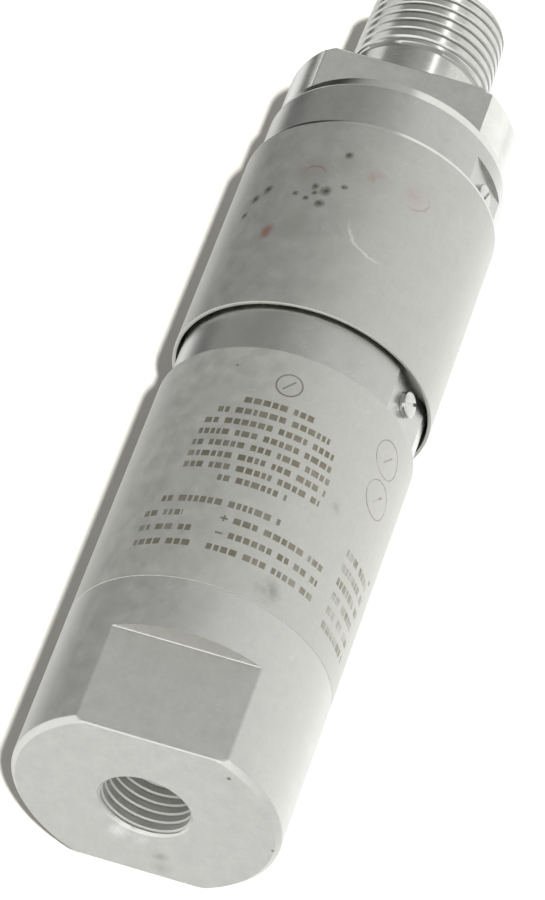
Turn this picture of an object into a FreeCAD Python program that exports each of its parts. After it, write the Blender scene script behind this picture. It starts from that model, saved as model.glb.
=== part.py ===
"""Two-wire pressure transmitter, 1 1/2 inch, with a sliding cover sleeve over its zero and span screws.

Millimetres. The axis is Z, the face of the pressure port lies on Z = 0 and the conduit thread points up.
The front, where the adjustment ports are, looks along -Y. Each function makes one piece in its place.
"""
import FreeCAD, Part
import math
import os

from FreeCAD import Vector

UP = Vector(0, 0, 1)

# ---- Process fitting -------------------------------------------------------------------------------
BODY_R = 19.05              # 1 1/2 inch bar; the radii below follow from it
WRENCH_FLAT_HALF = 15.875   # 1 1/4 inch across the flats
WRENCH_FLAT_LENGTH = 16.1
FITTING_LENGTH = 24.5       # port face to the weld
FACE_CHAMFER = 0.8
FLAT_EDGE_BREAK = 0.25
PORT_R = 6.24               # pitch radius of the 1/4-18 NPT port
PORT_RIM = 0.62             # chamfer at the port's mouth
PORT_DEPTH = 15.0
DRILL_POINT_HALF_ANGLE = 59.0
CHANNEL_R = 1.6
CHANNEL_LENGTH = 1.6
SPIGOT_WALL = 3.35          # fitting around the retaining ring
RING_LAND = 1.5             # retaining ring's bore to the header's
SEAT_LAND = 2.0             # header's bore to the cavity's
CAVITY_DEPTH = 0.8
SPIGOT_RIM = 2.5            # fitting above the retaining ring
SEAT_GAP = 0.05             # radial gap of a part that only locates in a bore

# ---- Sensor ----------------------------------------------------------------------------------------
DIAPHRAGM_INSET = 1.1       # from the header's bore
DIAPHRAGM_THICKNESS = 0.12
CORRUGATION_HEIGHT = 0.22
CORRUGATIONS = 3
CORRUGATED_FROM_R = 2.4
CORRUGATION_MARGIN = 0.6    # flat foil inside the cavity's wall
HEADER_HEIGHT = 8.0
HEADER_RECESS_INSET = 0.2   # from the cavity's wall
HEADER_RECESS_DEPTH = 0.5
DIE_POCKET_R = 3.6
DIE_POCKET_DEPTH = 3.5
HEADER_GROOVE_DEPTH = 1.4
HEADER_GROOVE_WIDTH = 2.1
HEADER_GROOVE_RISE = 2.8    # header underside to the groove's lower wall
PEDESTAL_SIDE = 3.4
PEDESTAL_HEIGHT = 1.4
DIE_SIDE = 2.8
DIE_THICKNESS = 0.5
PIN_CIRCLE_R = 6.2
PIN_COUNT = 6
PIN_FIRST_BEARING = 0.0
PIN_R = 0.35
PIN_GLASS_R = 1.0
PIN_DROP = 0.3              # pin left bare in the oil
FILL_HOLE_R = 0.4
FILL_BALL_R = 0.8
FILL_OFFSET = 2.4
RING_HEIGHT = 4.0
RING_CLEAR = 0.5            # ring to the glass beads
SPANNER_SLOT_WIDTH = 2.2
SPANNER_SLOT_DEPTH = 1.2

# ---- Housing and cover sleeve ----------------------------------------------------------------------
NECK_WALL = 2.35
BODY_LENGTH = 41.8          # weld to the shoulder
SHOULDER_CHAMFER = 0.45
WELD_BREAK = 0.15
SHOULDER_STEP = 0.8         # body to neck, on the radius
NECK_LENGTH = 51.9
SLEEVE_GAP = 0.5            # neck to sleeve, on the radius
SLEEVE_WALL = 0.55
SLEEVE_LIFT = 7.9           # shoulder to the sleeve's lower edge, where it rests
SLEEVE_DROP = 8.1           # neck's top to the sleeve's upper edge
SLEEVE_EDGE_BREAK = 0.12
SEAL_GROOVE_DEPTH = 1.25
SEAL_GROOVE_WIDTH = 2.3
SEAL_RUNNING_GAP = 0.06
LOWER_SEAL_RISE = 3.3       # sleeve's lower edge to the lower seal
ZERO_PORT_RISE = 6.5        # lower seal to the zero port
PORT_SPACING = 9.0
UPPER_SEAL_RISE = 6.5       # span port to the upper seal
ADJUST_PORT_R = 2.0
LOWER_SCREW_RISE = 4.7      # above the shoulder
UPPER_SCREW_DROP = 6.8      # below the neck's top
FLAT_BEARING = 65.0         # degrees from the front, towards +X
FLAT_DEPTH = 0.7
FLAT_UNDER_SLEEVE = 1.5     # each flat's inner end, inside the sleeve's edge
UPPER_FLAT_DROP = 2.6       # neck's top to the upper flat's upper end

# ---- Carrier screws, slotted, on the neck's flats --------------------------------------------------
CARRIER_SCREW_R = 1.1
CARRIER_SCREW_INSET = 0.2   # screw's end to the carrier's inner wall
CARRIER_SCREW_OFFSET = 0.7  # nearer the front than the flat's middle
CARRIER_HEAD_R = 1.9
CARRIER_HEAD_HEIGHT = 0.95
SCREW_HOLE_GAP = 0.06
SCREW_SLOT_WIDTH = 0.55
SCREW_SLOT_DEPTH = 0.55

# ---- Boards and what stands on them ----------------------------------------------------------------
BOARD_THICKNESS = 1.6
PILLAR_ACROSS_FLATS = 2.8
PILLAR_HEIGHT = 4.1
PILLAR_STUD_R = 0.8
PILLAR_STUD_LENGTH = 2.5
PILLAR_BEARINGS = (90.0, 210.0, 330.0)
STUD_HOLE_GAP = 0.04
ROUND_BOARD_GAP = 0.3       # to the housing's bore
BOARD_SCREW_HEAD_R = 1.4
BOARD_SCREW_HEAD_HEIGHT = 1.0
BOARD_SCREW_R = 0.75
BOARD_SCREW_REACH = 2.2     # into the pillar
ADJUSTER_RECESS = 1.85      # housing's bore to the adjusters' heads
BOARD_CORNER_GAP = 0.07     # amplifier board's corners to the carrier's inner wall
LINK_PITCH = 2.54
LINK_COUNT = 5
LINK_PIN_R = 0.32
LINK_PIN_OVERLAP = 3.4      # along the amplifier board
LINK_BLOCK_HEIGHT = 2.5
LINK_BLOCK_DEPTH = 3.0
CARRIER_GAP = 0.2           # to the housing's bore
CARRIER_WALL = 3.1
CARRIER_RING_HEIGHT = 4.0
CARRIER_FOOT_HEIGHT = 2.4
CARRIER_FOOT_RISE = 2.9     # amplifier board's lower edge to the carrier's foot
RAIL_WIDTH = 2.8
RAIL_DEPTH = 4.8
BOARD_SLOT_GAP = 0.1
BOARD_TOP_COVER = 2.5       # carrier above the amplifier board
TRIMMER_WIDTH = 6.7
TRIMMER_HEIGHT = 4.5
TRIMMER_DEPTH = 6.7
TRIMMER_SCREW_INSET = 1.45  # adjuster axis to the trimmer's side
ADJUSTER_HEAD_R = 1.1
ADJUSTER_HEAD_LENGTH = 1.3
ADJUSTER_SHANK_R = 0.8
ADJUSTER_SHANK_LENGTH = 2.5
ADJUSTER_GAP = 0.05
CHIP_WIDTH = 9.8
CHIP_HEIGHT = 6.4
CHIP_BODY = 3.2
CHIP_STANDOFF = 0.5
CHIP_RISES = (42.0, 54.0)   # heights above the amplifier board's lower edge
CHIP_LEGS = 4
CHIP_LEG = 0.5
CAPACITOR_R = 3.1
CAPACITOR_LENGTH = 7.0
CAPACITOR_RISES = (13.0, 21.0)
CAPACITOR_INSET = 1.0       # from the carrier's rail
RESISTOR_R = 1.15
RESISTOR_LENGTH = 6.3
RESISTOR_SPAN = 10.0
RESISTOR_WIRE_R = 0.3
RESISTOR_COUNT = 5
RESISTOR_FIRST_RISE = 11.0
RESISTOR_PITCH = 3.4
TRANSISTOR_R = 4.2
TRANSISTOR_LENGTH = 6.4
TRANSISTOR_FLANGE_R = 4.7
TRANSISTOR_FLANGE = 0.9
TRANSISTOR_INSET = 0.3      # from the carrier's rail
TRANSISTOR_RISE = 17.0
TERMINAL_COUNT = 3
TERMINAL_PITCH = 5.0
TERMINAL_R = 0.8
TERMINAL_LENGTH = 4.0
TERMINAL_FLANGE_R = 1.35
TERMINAL_FLANGE = 0.5
TERMINAL_DROP = 6.4         # below the board's upper edge

# ---- End cap ---------------------------------------------------------------------------------------
CAP_SPIGOT_LENGTH = 4.3
CAP_GROOVE_DEPTH = 1.2
CAP_GROOVE_WIDTH = 1.8
CAP_GROOVE_RISE = 1.2
CAP_SEAL_GAP = 0.02
CAP_RING_HEIGHT = 1.8       # neck to the ledge of the flats
CAP_BEVEL = 0.55            # neck to cap, on the radius
CAP_FLAT_HALF = 12.1
CAP_HEIGHT = 10.3           # neck to the cap's top face
CAP_TOP_CHAMFER = 0.9
CAP_SPIGOT_WALL = 1.65      # behind the seal's groove
CAP_CAVITY_DEPTH = 4.6
SHANK_R = 10.2
SHANK_LENGTH = 6.3
CONDUIT_R = 9.76            # pitch radius of the 1/2-14 NPT thread
CONDUIT_THREAD_LENGTH = 13.6
CONDUIT_END_CHAMFER = 1.0
CONDUIT_BORE_R = 7.5
LIP_WIDTH = 1.0
LIP_HEIGHT = 2.0
GROMMET_HEIGHT = 3.0
POTTING_HEIGHT = 14.0
BOND_GAP = 0.02
LEAD_HOLE_R = 1.0
LEAD_CIRCLE_R = 3.4
LEAD_COUNT = 3
GROUND_HEAD_R = 1.8
GROUND_HEAD_HEIGHT = 1.5
GROUND_SCREW_R = 1.1
GROUND_SCREW_REACH = 4.2
LUG_R = 2.0
LUG_GAP = 0.3               # to the cavity's wall
LUG_THICKNESS = 0.7
LUG_TAIL_WIDTH = 2.4
LUG_TAIL_REACH = 4.4
LUG_BARREL_R = 1.2
LUG_BARREL_LENGTH = 3.6

# ---- Radii that follow -----------------------------------------------------------------------------
port_rim_r = PORT_R + PORT_RIM
neck_r = BODY_R - SHOULDER_STEP
sleeve_bore_r = neck_r + SLEEVE_GAP
housing_bore_r = neck_r - NECK_WALL
spigot_r = housing_bore_r - SEAT_GAP
ring_bore_r = spigot_r - SPIGOT_WALL
ring_inner_r = PIN_CIRCLE_R + PIN_GLASS_R + RING_CLEAR
header_bore_r = ring_bore_r - RING_LAND
cavity_r = header_bore_r - SEAT_LAND
diaphragm_r = header_bore_r - DIAPHRAGM_INSET
corrugated_to_r = cavity_r - CORRUGATION_MARGIN
header_recess_r = cavity_r - HEADER_RECESS_INSET
pillar_circle_r = (ring_bore_r + spigot_r) / 2
round_board_r = housing_bore_r - ROUND_BOARD_GAP
carrier_r = housing_bore_r - CARRIER_GAP
carrier_ring_r = carrier_r - CARRIER_WALL
cap_r = neck_r - CAP_BEVEL
cap_cavity_r = spigot_r - CAP_GROOVE_DEPTH - CAP_SPIGOT_WALL
lip_r = CONDUIT_BORE_R - LIP_WIDTH

# ---- Places across that follow ---------------------------------------------------------------------
trimmer_face_y = -(housing_bore_r - ADJUSTER_RECESS - ADJUSTER_HEAD_LENGTH - ADJUSTER_GAP)
amplifier_front_y = trimmer_face_y + TRIMMER_DEPTH
amplifier_back_y = amplifier_front_y + BOARD_THICKNESS
amplifier_half_width = math.sqrt((carrier_ring_r - BOARD_CORNER_GAP) ** 2 - amplifier_front_y ** 2)
rail_inner_x = amplifier_half_width - RAIL_WIDTH / 2
capacitor_x = CAPACITOR_R + CAPACITOR_INSET - rail_inner_x
transistor_x = rail_inner_x - TRANSISTOR_INSET - TRANSISTOR_FLANGE_R
ground_screw_x = cap_cavity_r - LUG_GAP - LUG_R

# ---- Heights that follow ---------------------------------------------------------------------------
drill_point = (PORT_R - CHANNEL_R) / math.tan(math.radians(DRILL_POINT_HALF_ANGLE))
cavity_floor_z = PORT_DEPTH + drill_point + CHANNEL_LENGTH
seat_z = cavity_floor_z + CAVITY_DEPTH
header_z = seat_z + DIAPHRAGM_THICKNESS
header_top_z = header_z + HEADER_HEIGHT
ring_top_z = header_top_z + RING_HEIGHT
spigot_top_z = ring_top_z + SPIGOT_RIM
pocket_roof_z = header_z + DIE_POCKET_DEPTH
recess_roof_z = header_z + HEADER_RECESS_DEPTH
round_board_z = spigot_top_z + PILLAR_HEIGHT
round_board_top_z = round_board_z + BOARD_THICKNESS
amplifier_z = round_board_top_z + LINK_BLOCK_HEIGHT
shoulder_z = FITTING_LENGTH + BODY_LENGTH
neck_top_z = shoulder_z + NECK_LENGTH
sleeve_z = shoulder_z + SLEEVE_LIFT
sleeve_top_z = neck_top_z - SLEEVE_DROP
lower_seal_z = sleeve_z + LOWER_SEAL_RISE
zero_z = lower_seal_z + ZERO_PORT_RISE
span_z = zero_z + PORT_SPACING
upper_seal_z = span_z + UPPER_SEAL_RISE
lower_screw_z = shoulder_z + LOWER_SCREW_RISE
upper_screw_z = neck_top_z - UPPER_SCREW_DROP
lower_flat_top_z = sleeve_z + FLAT_UNDER_SLEEVE
upper_flat_z = sleeve_top_z - FLAT_UNDER_SLEEVE
upper_flat_top_z = neck_top_z - UPPER_FLAT_DROP
carrier_top_z = upper_screw_z + CARRIER_RING_HEIGHT / 2
amplifier_top_z = carrier_top_z - BOARD_TOP_COVER
cap_ledge_z = neck_top_z + CAP_RING_HEIGHT
cap_top_z = neck_top_z + CAP_HEIGHT
cap_bottom_z = neck_top_z - CAP_SPIGOT_LENGTH
cap_roof_z = cap_bottom_z + CAP_CAVITY_DEPTH
lip_top_z = cap_roof_z + LIP_HEIGHT
shank_top_z = cap_top_z + SHANK_LENGTH
conduit_end_z = shank_top_z + CONDUIT_THREAD_LENGTH


# ---- Shapes used more than once --------------------------------------------------------------------
def at_angle(radius, degrees, z=0.0):
    """Point at a bearing from +X in the plane of height z."""
    angle = math.radians(degrees)
    return Vector(radius * math.cos(angle), radius * math.sin(angle), z)


def rod(radius, start, end):
    """Round bar between two points."""
    return Part.makeCylinder(radius, (end - start).Length, start, end - start)


def upright(radius, z_low, z_high, centre=Vector(0, 0, 0)):
    """Round bar along Z."""
    foot = Vector(centre.x, centre.y, z_low)
    return Part.makeCylinder(radius, z_high - z_low, foot, UP)


def block(x, y, z):
    """Box between two limits on each axis."""
    return Part.makeBox(x[1] - x[0], y[1] - y[0], z[1] - z[0], Vector(x[0], y[0], z[0]))


def turned(profile):
    """Solid turned about Z from a closed list of (radius, height) corners."""
    corners = [Vector(radius, 0, z) for radius, z in profile]
    outline = Part.makePolygon(corners + corners[:1])
    return Part.Face(outline).revolve(Vector(0, 0, 0), UP, 360)


def o_ring(groove_r, bore_r, z):
    """O-ring that fills the height between a groove's floor and a bore."""
    section_r = (bore_r - groove_r) / 2
    return Part.makeTorus(groove_r + section_r, section_r, Vector(0, 0, z), UP)


def outward_band(half, reach, z_low, z_high):
    """The two slabs that milling a pair of flats takes away."""
    front = block((-reach, reach), (-reach, -half), (z_low, z_high))
    back = block((-reach, reach), (half, reach), (z_low, z_high))
    return front.fuse(back)


def around(count, radius, start=90.0):
    """Evenly spaced points on a circle."""
    return [at_angle(radius, start + 360.0 * i / count) for i in range(count)]


# ---- Process fitting and sensor --------------------------------------------------------------------
def process_fitting():
    body = turned([
        (port_rim_r, 0),
        (BODY_R - FACE_CHAMFER, 0),
        (BODY_R, FACE_CHAMFER),
        (BODY_R, FITTING_LENGTH - WELD_BREAK),
        (BODY_R - WELD_BREAK, FITTING_LENGTH),
        (spigot_r, FITTING_LENGTH),
        (spigot_r, spigot_top_z),
        (ring_bore_r, spigot_top_z),
        (ring_bore_r, seat_z + HEADER_HEIGHT),
        (header_bore_r, seat_z + HEADER_HEIGHT),
        (header_bore_r, seat_z),
        (cavity_r, seat_z),
        (cavity_r, cavity_floor_z),
        (CHANNEL_R, cavity_floor_z),
        (CHANNEL_R, PORT_DEPTH + drill_point),
        (PORT_R, PORT_DEPTH),
        (PORT_R, PORT_RIM),
    ])
    body = body.cut(outward_band(WRENCH_FLAT_HALF, 2 * BODY_R, -1, WRENCH_FLAT_LENGTH))
    front_edges = [
        edge for edge in body.Edges
        if isinstance(edge.Curve, Part.Line)
        and all(abs(v.Z) < 1e-6 and abs(abs(v.Y) - WRENCH_FLAT_HALF) < 1e-6 for v in edge.Vertexes)
    ]
    body = body.makeChamfer(FLAT_EDGE_BREAK, front_edges)
    stud_hole_z = spigot_top_z - PILLAR_STUD_LENGTH - STUD_HOLE_GAP
    for bearing in PILLAR_BEARINGS:
        centre = at_angle(pillar_circle_r, bearing)
        body = body.cut(upright(PILLAR_STUD_R + STUD_HOLE_GAP, stud_hole_z, spigot_top_z, centre))
    return body


def isolation_diaphragm():
    """Foil with round corrugations, clamped by its flat rim between the seat and the header."""
    def wave(z):
        step = (corrugated_to_r - CORRUGATED_FROM_R) / (2 * CORRUGATIONS)
        arcs = []
        for i in range(2 * CORRUGATIONS):
            r0 = CORRUGATED_FROM_R + i * step
            lift = CORRUGATION_HEIGHT if i % 2 == 0 else -CORRUGATION_HEIGHT
            arcs.append(Part.Arc(
                Vector(r0, 0, z), Vector(r0 + step / 2, 0, z + lift), Vector(r0 + step, 0, z)
            ).toShape())
        return arcs

    top_z = seat_z + DIAPHRAGM_THICKNESS

    def flat(r0, z0, r1, z1):
        return Part.makeLine(Vector(r0, 0, z0), Vector(r1, 0, z1))

    outline = [
        flat(0, seat_z, CORRUGATED_FROM_R, seat_z),
        *wave(seat_z),
        flat(corrugated_to_r, seat_z, diaphragm_r, seat_z),
        flat(diaphragm_r, seat_z, diaphragm_r, top_z),
        flat(diaphragm_r, top_z, corrugated_to_r, top_z),
        *reversed(wave(top_z)),
        flat(CORRUGATED_FROM_R, top_z, 0, top_z),
        flat(0, top_z, 0, seat_z),
    ]
    wire = Part.Wire(Part.__sortEdges__(outline))
    return Part.Face(wire).revolve(Vector(0, 0, 0), UP, 360)


def header_groove():
    low = header_z + HEADER_GROOVE_RISE
    return low, low + HEADER_GROOVE_WIDTH, header_bore_r - SEAT_GAP - HEADER_GROOVE_DEPTH


def pin_centres():
    return around(PIN_COUNT, PIN_CIRCLE_R, PIN_FIRST_BEARING)


def sensor_header():
    """Steel header: oil recess and die pocket underneath, seal groove around it."""
    outer_r = header_bore_r - SEAT_GAP
    groove_low, groove_high, groove_r = header_groove()
    body = turned([
        (0, header_top_z),
        (outer_r, header_top_z),
        (outer_r, groove_high),
        (groove_r, groove_high),
        (groove_r, groove_low),
        (outer_r, groove_low),
        (outer_r, header_z),
        (header_recess_r, header_z),
        (header_recess_r, recess_roof_z),
        (DIE_POCKET_R, recess_roof_z),
        (DIE_POCKET_R, pocket_roof_z),
        (0, pocket_roof_z),
    ])
    for centre in pin_centres():
        body = body.cut(upright(PIN_GLASS_R + BOND_GAP, recess_roof_z - 1, header_top_z + 1, centre))
    fill = Vector(0, FILL_OFFSET, 0)
    ball_seat_z = header_top_z - 2 * FILL_BALL_R
    body = body.cut(upright(FILL_HOLE_R, pocket_roof_z - 1, header_top_z + 1, fill))
    return body.cut(upright(FILL_BALL_R + BOND_GAP, ball_seat_z, header_top_z + 1, fill))


def header_seal():
    groove_low, groove_high, groove_r = header_groove()
    return o_ring(groove_r, header_bore_r, (groove_low + groove_high) / 2)


def die_pedestal():
    half = PEDESTAL_SIDE / 2
    return block((-half, half), (-half, half), (pocket_roof_z - PEDESTAL_HEIGHT, pocket_roof_z))


def sensor_die():
    half = DIE_SIDE / 2
    top = pocket_roof_z - PEDESTAL_HEIGHT
    return block((-half, half), (-half, half), (top - DIE_THICKNESS, top))


def header_pins():
    low = recess_roof_z - PIN_DROP
    return [upright(PIN_R, low, round_board_top_z, centre) for centre in pin_centres()]


def pin_glass():
    beads = []
    for centre in pin_centres():
        bead = upright(PIN_GLASS_R, recess_roof_z, header_top_z, centre)
        beads.append(bead.cut(upright(PIN_R + BOND_GAP, recess_roof_z, header_top_z, centre)))
    return beads


def fill_ball():
    return Part.makeSphere(FILL_BALL_R, Vector(0, FILL_OFFSET, header_top_z - FILL_BALL_R))


def retaining_ring():
    """Threaded ring that holds the header down, slotted for a pin spanner."""
    body = upright(ring_bore_r - SEAT_GAP, header_top_z, ring_top_z)
    body = body.cut(upright(ring_inner_r, header_top_z, ring_top_z))
    half = SPANNER_SLOT_WIDTH / 2
    slot = block((-ring_bore_r, ring_bore_r), (-half, half), (ring_top_z - SPANNER_SLOT_DEPTH, ring_top_z + 1))
    return body.cut(slot)


# ---- Housing, sleeve and their seals ---------------------------------------------------------------
def across_flat(radius, inner, outer, z):
    """Round bar square to the neck's flats, on a carrier screw's line."""
    out = at_angle(1.0, FLAT_BEARING - 90.0)
    line = UP * z - UP.cross(out) * CARRIER_SCREW_OFFSET
    return rod(radius, line + out * inner, line + out * outer)


def carrier_screw_heights():
    return lower_screw_z, upper_screw_z


def neck_flat(low, high):
    """What the mill takes off the neck for one screw head."""
    flat = block((-BODY_R, BODY_R), (-2 * BODY_R, FLAT_DEPTH - neck_r), (low, high))
    flat.rotate(Vector(0, 0, 0), UP, FLAT_BEARING)
    return flat


def housing():
    """Tube with a shoulder, a thinner neck, two seal grooves, two flats and the ports through its wall."""
    groove_r = neck_r - SEAL_GROOVE_DEPTH
    profile = [
        (housing_bore_r, FITTING_LENGTH),
        (BODY_R - WELD_BREAK, FITTING_LENGTH),
        (BODY_R, FITTING_LENGTH + WELD_BREAK),
        (BODY_R, shoulder_z - SHOULDER_CHAMFER),
        (BODY_R - SHOULDER_CHAMFER, shoulder_z),
        (neck_r, shoulder_z),
    ]
    for z in (lower_seal_z, upper_seal_z):
        low = z - SEAL_GROOVE_WIDTH / 2
        high = low + SEAL_GROOVE_WIDTH
        profile += [(neck_r, low), (groove_r, low), (groove_r, high), (neck_r, high)]
    profile += [(neck_r, neck_top_z), (housing_bore_r, neck_top_z)]
    tube = turned(profile)
    for z in (zero_z, span_z):
        tube = tube.cut(rod(ADJUST_PORT_R, Vector(0, 0, z), Vector(0, -BODY_R, z)))
    for low, high in ((shoulder_z, lower_flat_top_z), (upper_flat_z, upper_flat_top_z)):
        tube = tube.cut(neck_flat(low, high))
    for z in carrier_screw_heights():
        tube = tube.cut(across_flat(CARRIER_SCREW_R + SCREW_HOLE_GAP, carrier_ring_r, BODY_R, z))
    return tube


def cover_sleeve():
    outer_r = sleeve_bore_r + SLEEVE_WALL
    brk = SLEEVE_EDGE_BREAK
    return turned([
        (sleeve_bore_r, sleeve_z),
        (outer_r - brk, sleeve_z),
        (outer_r, sleeve_z + brk),
        (outer_r, sleeve_top_z - brk),
        (outer_r - brk, sleeve_top_z),
        (sleeve_bore_r, sleeve_top_z),
    ])


def sleeve_seal(z):
    return o_ring(neck_r - SEAL_GROOVE_DEPTH, sleeve_bore_r - SEAL_RUNNING_GAP, z)


def carrier_screws():
    """Two slotted screws, their heads on the neck's flats and their shanks in the board carrier."""
    face = neck_r - FLAT_DEPTH
    top = face + CARRIER_HEAD_HEIGHT
    end = carrier_ring_r + CARRIER_SCREW_INSET
    half = SCREW_SLOT_WIDTH / 2
    screws = []
    for z in carrier_screw_heights():
        head = across_flat(CARRIER_HEAD_R, face, top, z)
        slot = block((-BODY_R, BODY_R), (-2 * BODY_R, SCREW_SLOT_DEPTH - top), (z - half, z + half))
        slot.rotate(Vector(0, 0, 0), UP, FLAT_BEARING)
        screws.append(across_flat(CARRIER_SCREW_R, end, face, z).fuse(head.cut(slot)))
    return screws


# ---- Boards ----------------------------------------------------------------------------------------
def board_pillars():
    """Hexagonal pillars with a stud below and a tapped hole above."""
    corner_r = PILLAR_ACROSS_FLATS / 2 / math.cos(math.radians(30))
    pillars = []
    for bearing in PILLAR_BEARINGS:
        centre = at_angle(pillar_circle_r, bearing)
        corners = [centre + at_angle(corner_r, 60 * i, spigot_top_z) for i in range(6)]
        hexagon = Part.Face(Part.makePolygon(corners + corners[:1])).extrude(UP * PILLAR_HEIGHT)
        stud = upright(PILLAR_STUD_R, spigot_top_z - PILLAR_STUD_LENGTH, spigot_top_z, centre)
        hole_z = round_board_z - BOARD_SCREW_REACH - STUD_HOLE_GAP
        hole = upright(BOARD_SCREW_R + STUD_HOLE_GAP, hole_z, round_board_z, centre)
        pillars.append(hexagon.fuse(stud).cut(hole))
    return pillars


def link_positions():
    first = -LINK_PITCH * (LINK_COUNT - 1) / 2
    return [Vector(first + LINK_PITCH * i, amplifier_front_y - LINK_PIN_R, 0) for i in range(LINK_COUNT)]


def compensation_board():
    board = upright(round_board_r, round_board_z, round_board_top_z)
    holes = [(PIN_R, centre) for centre in pin_centres()]
    holes += [(LINK_PIN_R, centre) for centre in link_positions()]
    holes += [(BOARD_SCREW_R, at_angle(pillar_circle_r, bearing)) for bearing in PILLAR_BEARINGS]
    for radius, centre in holes:
        board = board.cut(upright(radius + STUD_HOLE_GAP, round_board_z - 1, round_board_top_z + 1, centre))
    return board


def board_screws():
    screws = []
    top = round_board_top_z + BOARD_SCREW_HEAD_HEIGHT
    for bearing in PILLAR_BEARINGS:
        centre = at_angle(pillar_circle_r, bearing)
        head = upright(BOARD_SCREW_HEAD_R, round_board_top_z, top, centre)
        shank = upright(BOARD_SCREW_R, round_board_z - BOARD_SCREW_REACH, round_board_top_z, centre)
        half = SCREW_SLOT_WIDTH / 2
        slot = block(
            (centre.x - BOARD_SCREW_HEAD_R, centre.x + BOARD_SCREW_HEAD_R),
            (centre.y - half, centre.y + half),
            (top - SCREW_SLOT_DEPTH, top + 1),
        )
        screws.append(head.fuse(shank).cut(slot))
    return screws


def link_block():
    half = LINK_PITCH * LINK_COUNT / 2
    strip = block(
        (-half, half),
        (amplifier_back_y - LINK_BLOCK_DEPTH, amplifier_back_y),
        (round_board_top_z, amplifier_z),
    )
    for centre in link_positions():
        strip = strip.cut(upright(LINK_PIN_R + BOND_GAP, round_board_top_z, amplifier_z, centre))
    return strip


def link_pins():
    return [upright(LINK_PIN_R, round_board_z, amplifier_z + LINK_PIN_OVERLAP, c) for c in link_positions()]


def amplifier_board():
    half = amplifier_half_width
    return block((-half, half), (amplifier_front_y, amplifier_back_y), (amplifier_z, amplifier_top_z))


def board_carrier():
    """Moulded cage: a foot and two screw rings joined by two grooved rails that hold the board's edges."""
    foot_z = amplifier_z + CARRIER_FOOT_RISE
    half_ring = CARRIER_RING_HEIGHT / 2
    rings = [(foot_z, foot_z + CARRIER_FOOT_HEIGHT)]
    rings += [(z - half_ring, z + half_ring) for z in carrier_screw_heights()]
    cage = None
    for low, high in rings:
        ring = upright(carrier_r, low, high).cut(upright(carrier_ring_r, low, high))
        cage = ring if cage is None else cage.fuse(ring)
    centre_y = amplifier_front_y + BOARD_THICKNESS / 2
    rail_y = (centre_y - RAIL_DEPTH / 2, centre_y + RAIL_DEPTH / 2)
    rail_outer_x = rail_inner_x + RAIL_WIDTH
    for x in ((-rail_outer_x, -rail_inner_x), (rail_inner_x, rail_outer_x)):
        rail = block(x, rail_y, (foot_z, carrier_top_z))
        cage = cage.fuse(rail.common(upright(carrier_r, foot_z, carrier_top_z)))
    gap = BOARD_SLOT_GAP
    slot = block(
        (-amplifier_half_width - gap, amplifier_half_width + gap),
        (amplifier_front_y - gap, amplifier_back_y + gap),
        (foot_z, amplifier_top_z),
    )
    cage = cage.cut(slot)
    for z in carrier_screw_heights():
        cage = cage.cut(across_flat(CARRIER_SCREW_R + BOND_GAP, carrier_ring_r - 1, neck_r, z))
    return cage.removeSplitter()


# ---- Parts on the amplifier board ------------------------------------------------------------------
def trimmer(z):
    """Multi-turn trimmer, whose screw bore is in line with its port in the neck."""
    half = TRIMMER_HEIGHT / 2
    body = block(
        (TRIMMER_SCREW_INSET - TRIMMER_WIDTH, TRIMMER_SCREW_INSET),
        (trimmer_face_y, amplifier_front_y),
        (z - half, z + half),
    )
    bore_end_y = trimmer_face_y + ADJUSTER_SHANK_LENGTH + ADJUSTER_GAP
    bore = rod(ADJUSTER_SHANK_R + ADJUSTER_GAP, Vector(0, bore_end_y, z), Vector(0, trimmer_face_y, z))
    return body.cut(bore)


def adjuster(z):
    """Slotted screw of a trimmer, which turns in place."""
    head_back_y = trimmer_face_y - ADJUSTER_GAP
    head_y = head_back_y - ADJUSTER_HEAD_LENGTH
    head = rod(ADJUSTER_HEAD_R, Vector(0, head_back_y, z), Vector(0, head_y, z))
    shank = rod(ADJUSTER_SHANK_R, Vector(0, trimmer_face_y + ADJUSTER_SHANK_LENGTH, z), Vector(0, head_back_y, z))
    half = SCREW_SLOT_WIDTH / 2
    slot = block(
        (-ADJUSTER_HEAD_R, ADJUSTER_HEAD_R),
        (head_y - 1, head_y + SCREW_SLOT_DEPTH),
        (z - half, z + half),
    )
    return head.fuse(shank).cut(slot)


def amplifier_chips():
    """Two eight-legged amplifiers on the back of the board."""
    chips = []
    body_y = amplifier_back_y + CHIP_STANDOFF
    leg_pitch = CHIP_WIDTH / CHIP_LEGS
    for rise in CHIP_RISES:
        z = amplifier_z + rise
        half_w, half_h = CHIP_WIDTH / 2, CHIP_HEIGHT / 2
        chip = block((-half_w, half_w), (body_y, body_y + CHIP_BODY), (z - half_h, z + half_h))
        for i in range(CHIP_LEGS):
            x = -half_w + leg_pitch * (i + 0.5)
            for side in (-half_h - CHIP_LEG, half_h):
                leg = block(
                    (x - CHIP_LEG / 2, x + CHIP_LEG / 2),
                    (amplifier_back_y, body_y + CHIP_BODY / 2),
                    (z + side, z + side + CHIP_LEG),
                )
                chip = chip.fuse(leg)
        chips.append(chip)
    return chips


def filter_capacitors():
    return [
        rod(
            CAPACITOR_R,
            Vector(capacitor_x, amplifier_back_y, amplifier_z + rise),
            Vector(capacitor_x, amplifier_back_y + CAPACITOR_LENGTH, amplifier_z + rise),
        )
        for rise in CAPACITOR_RISES
    ]


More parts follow.
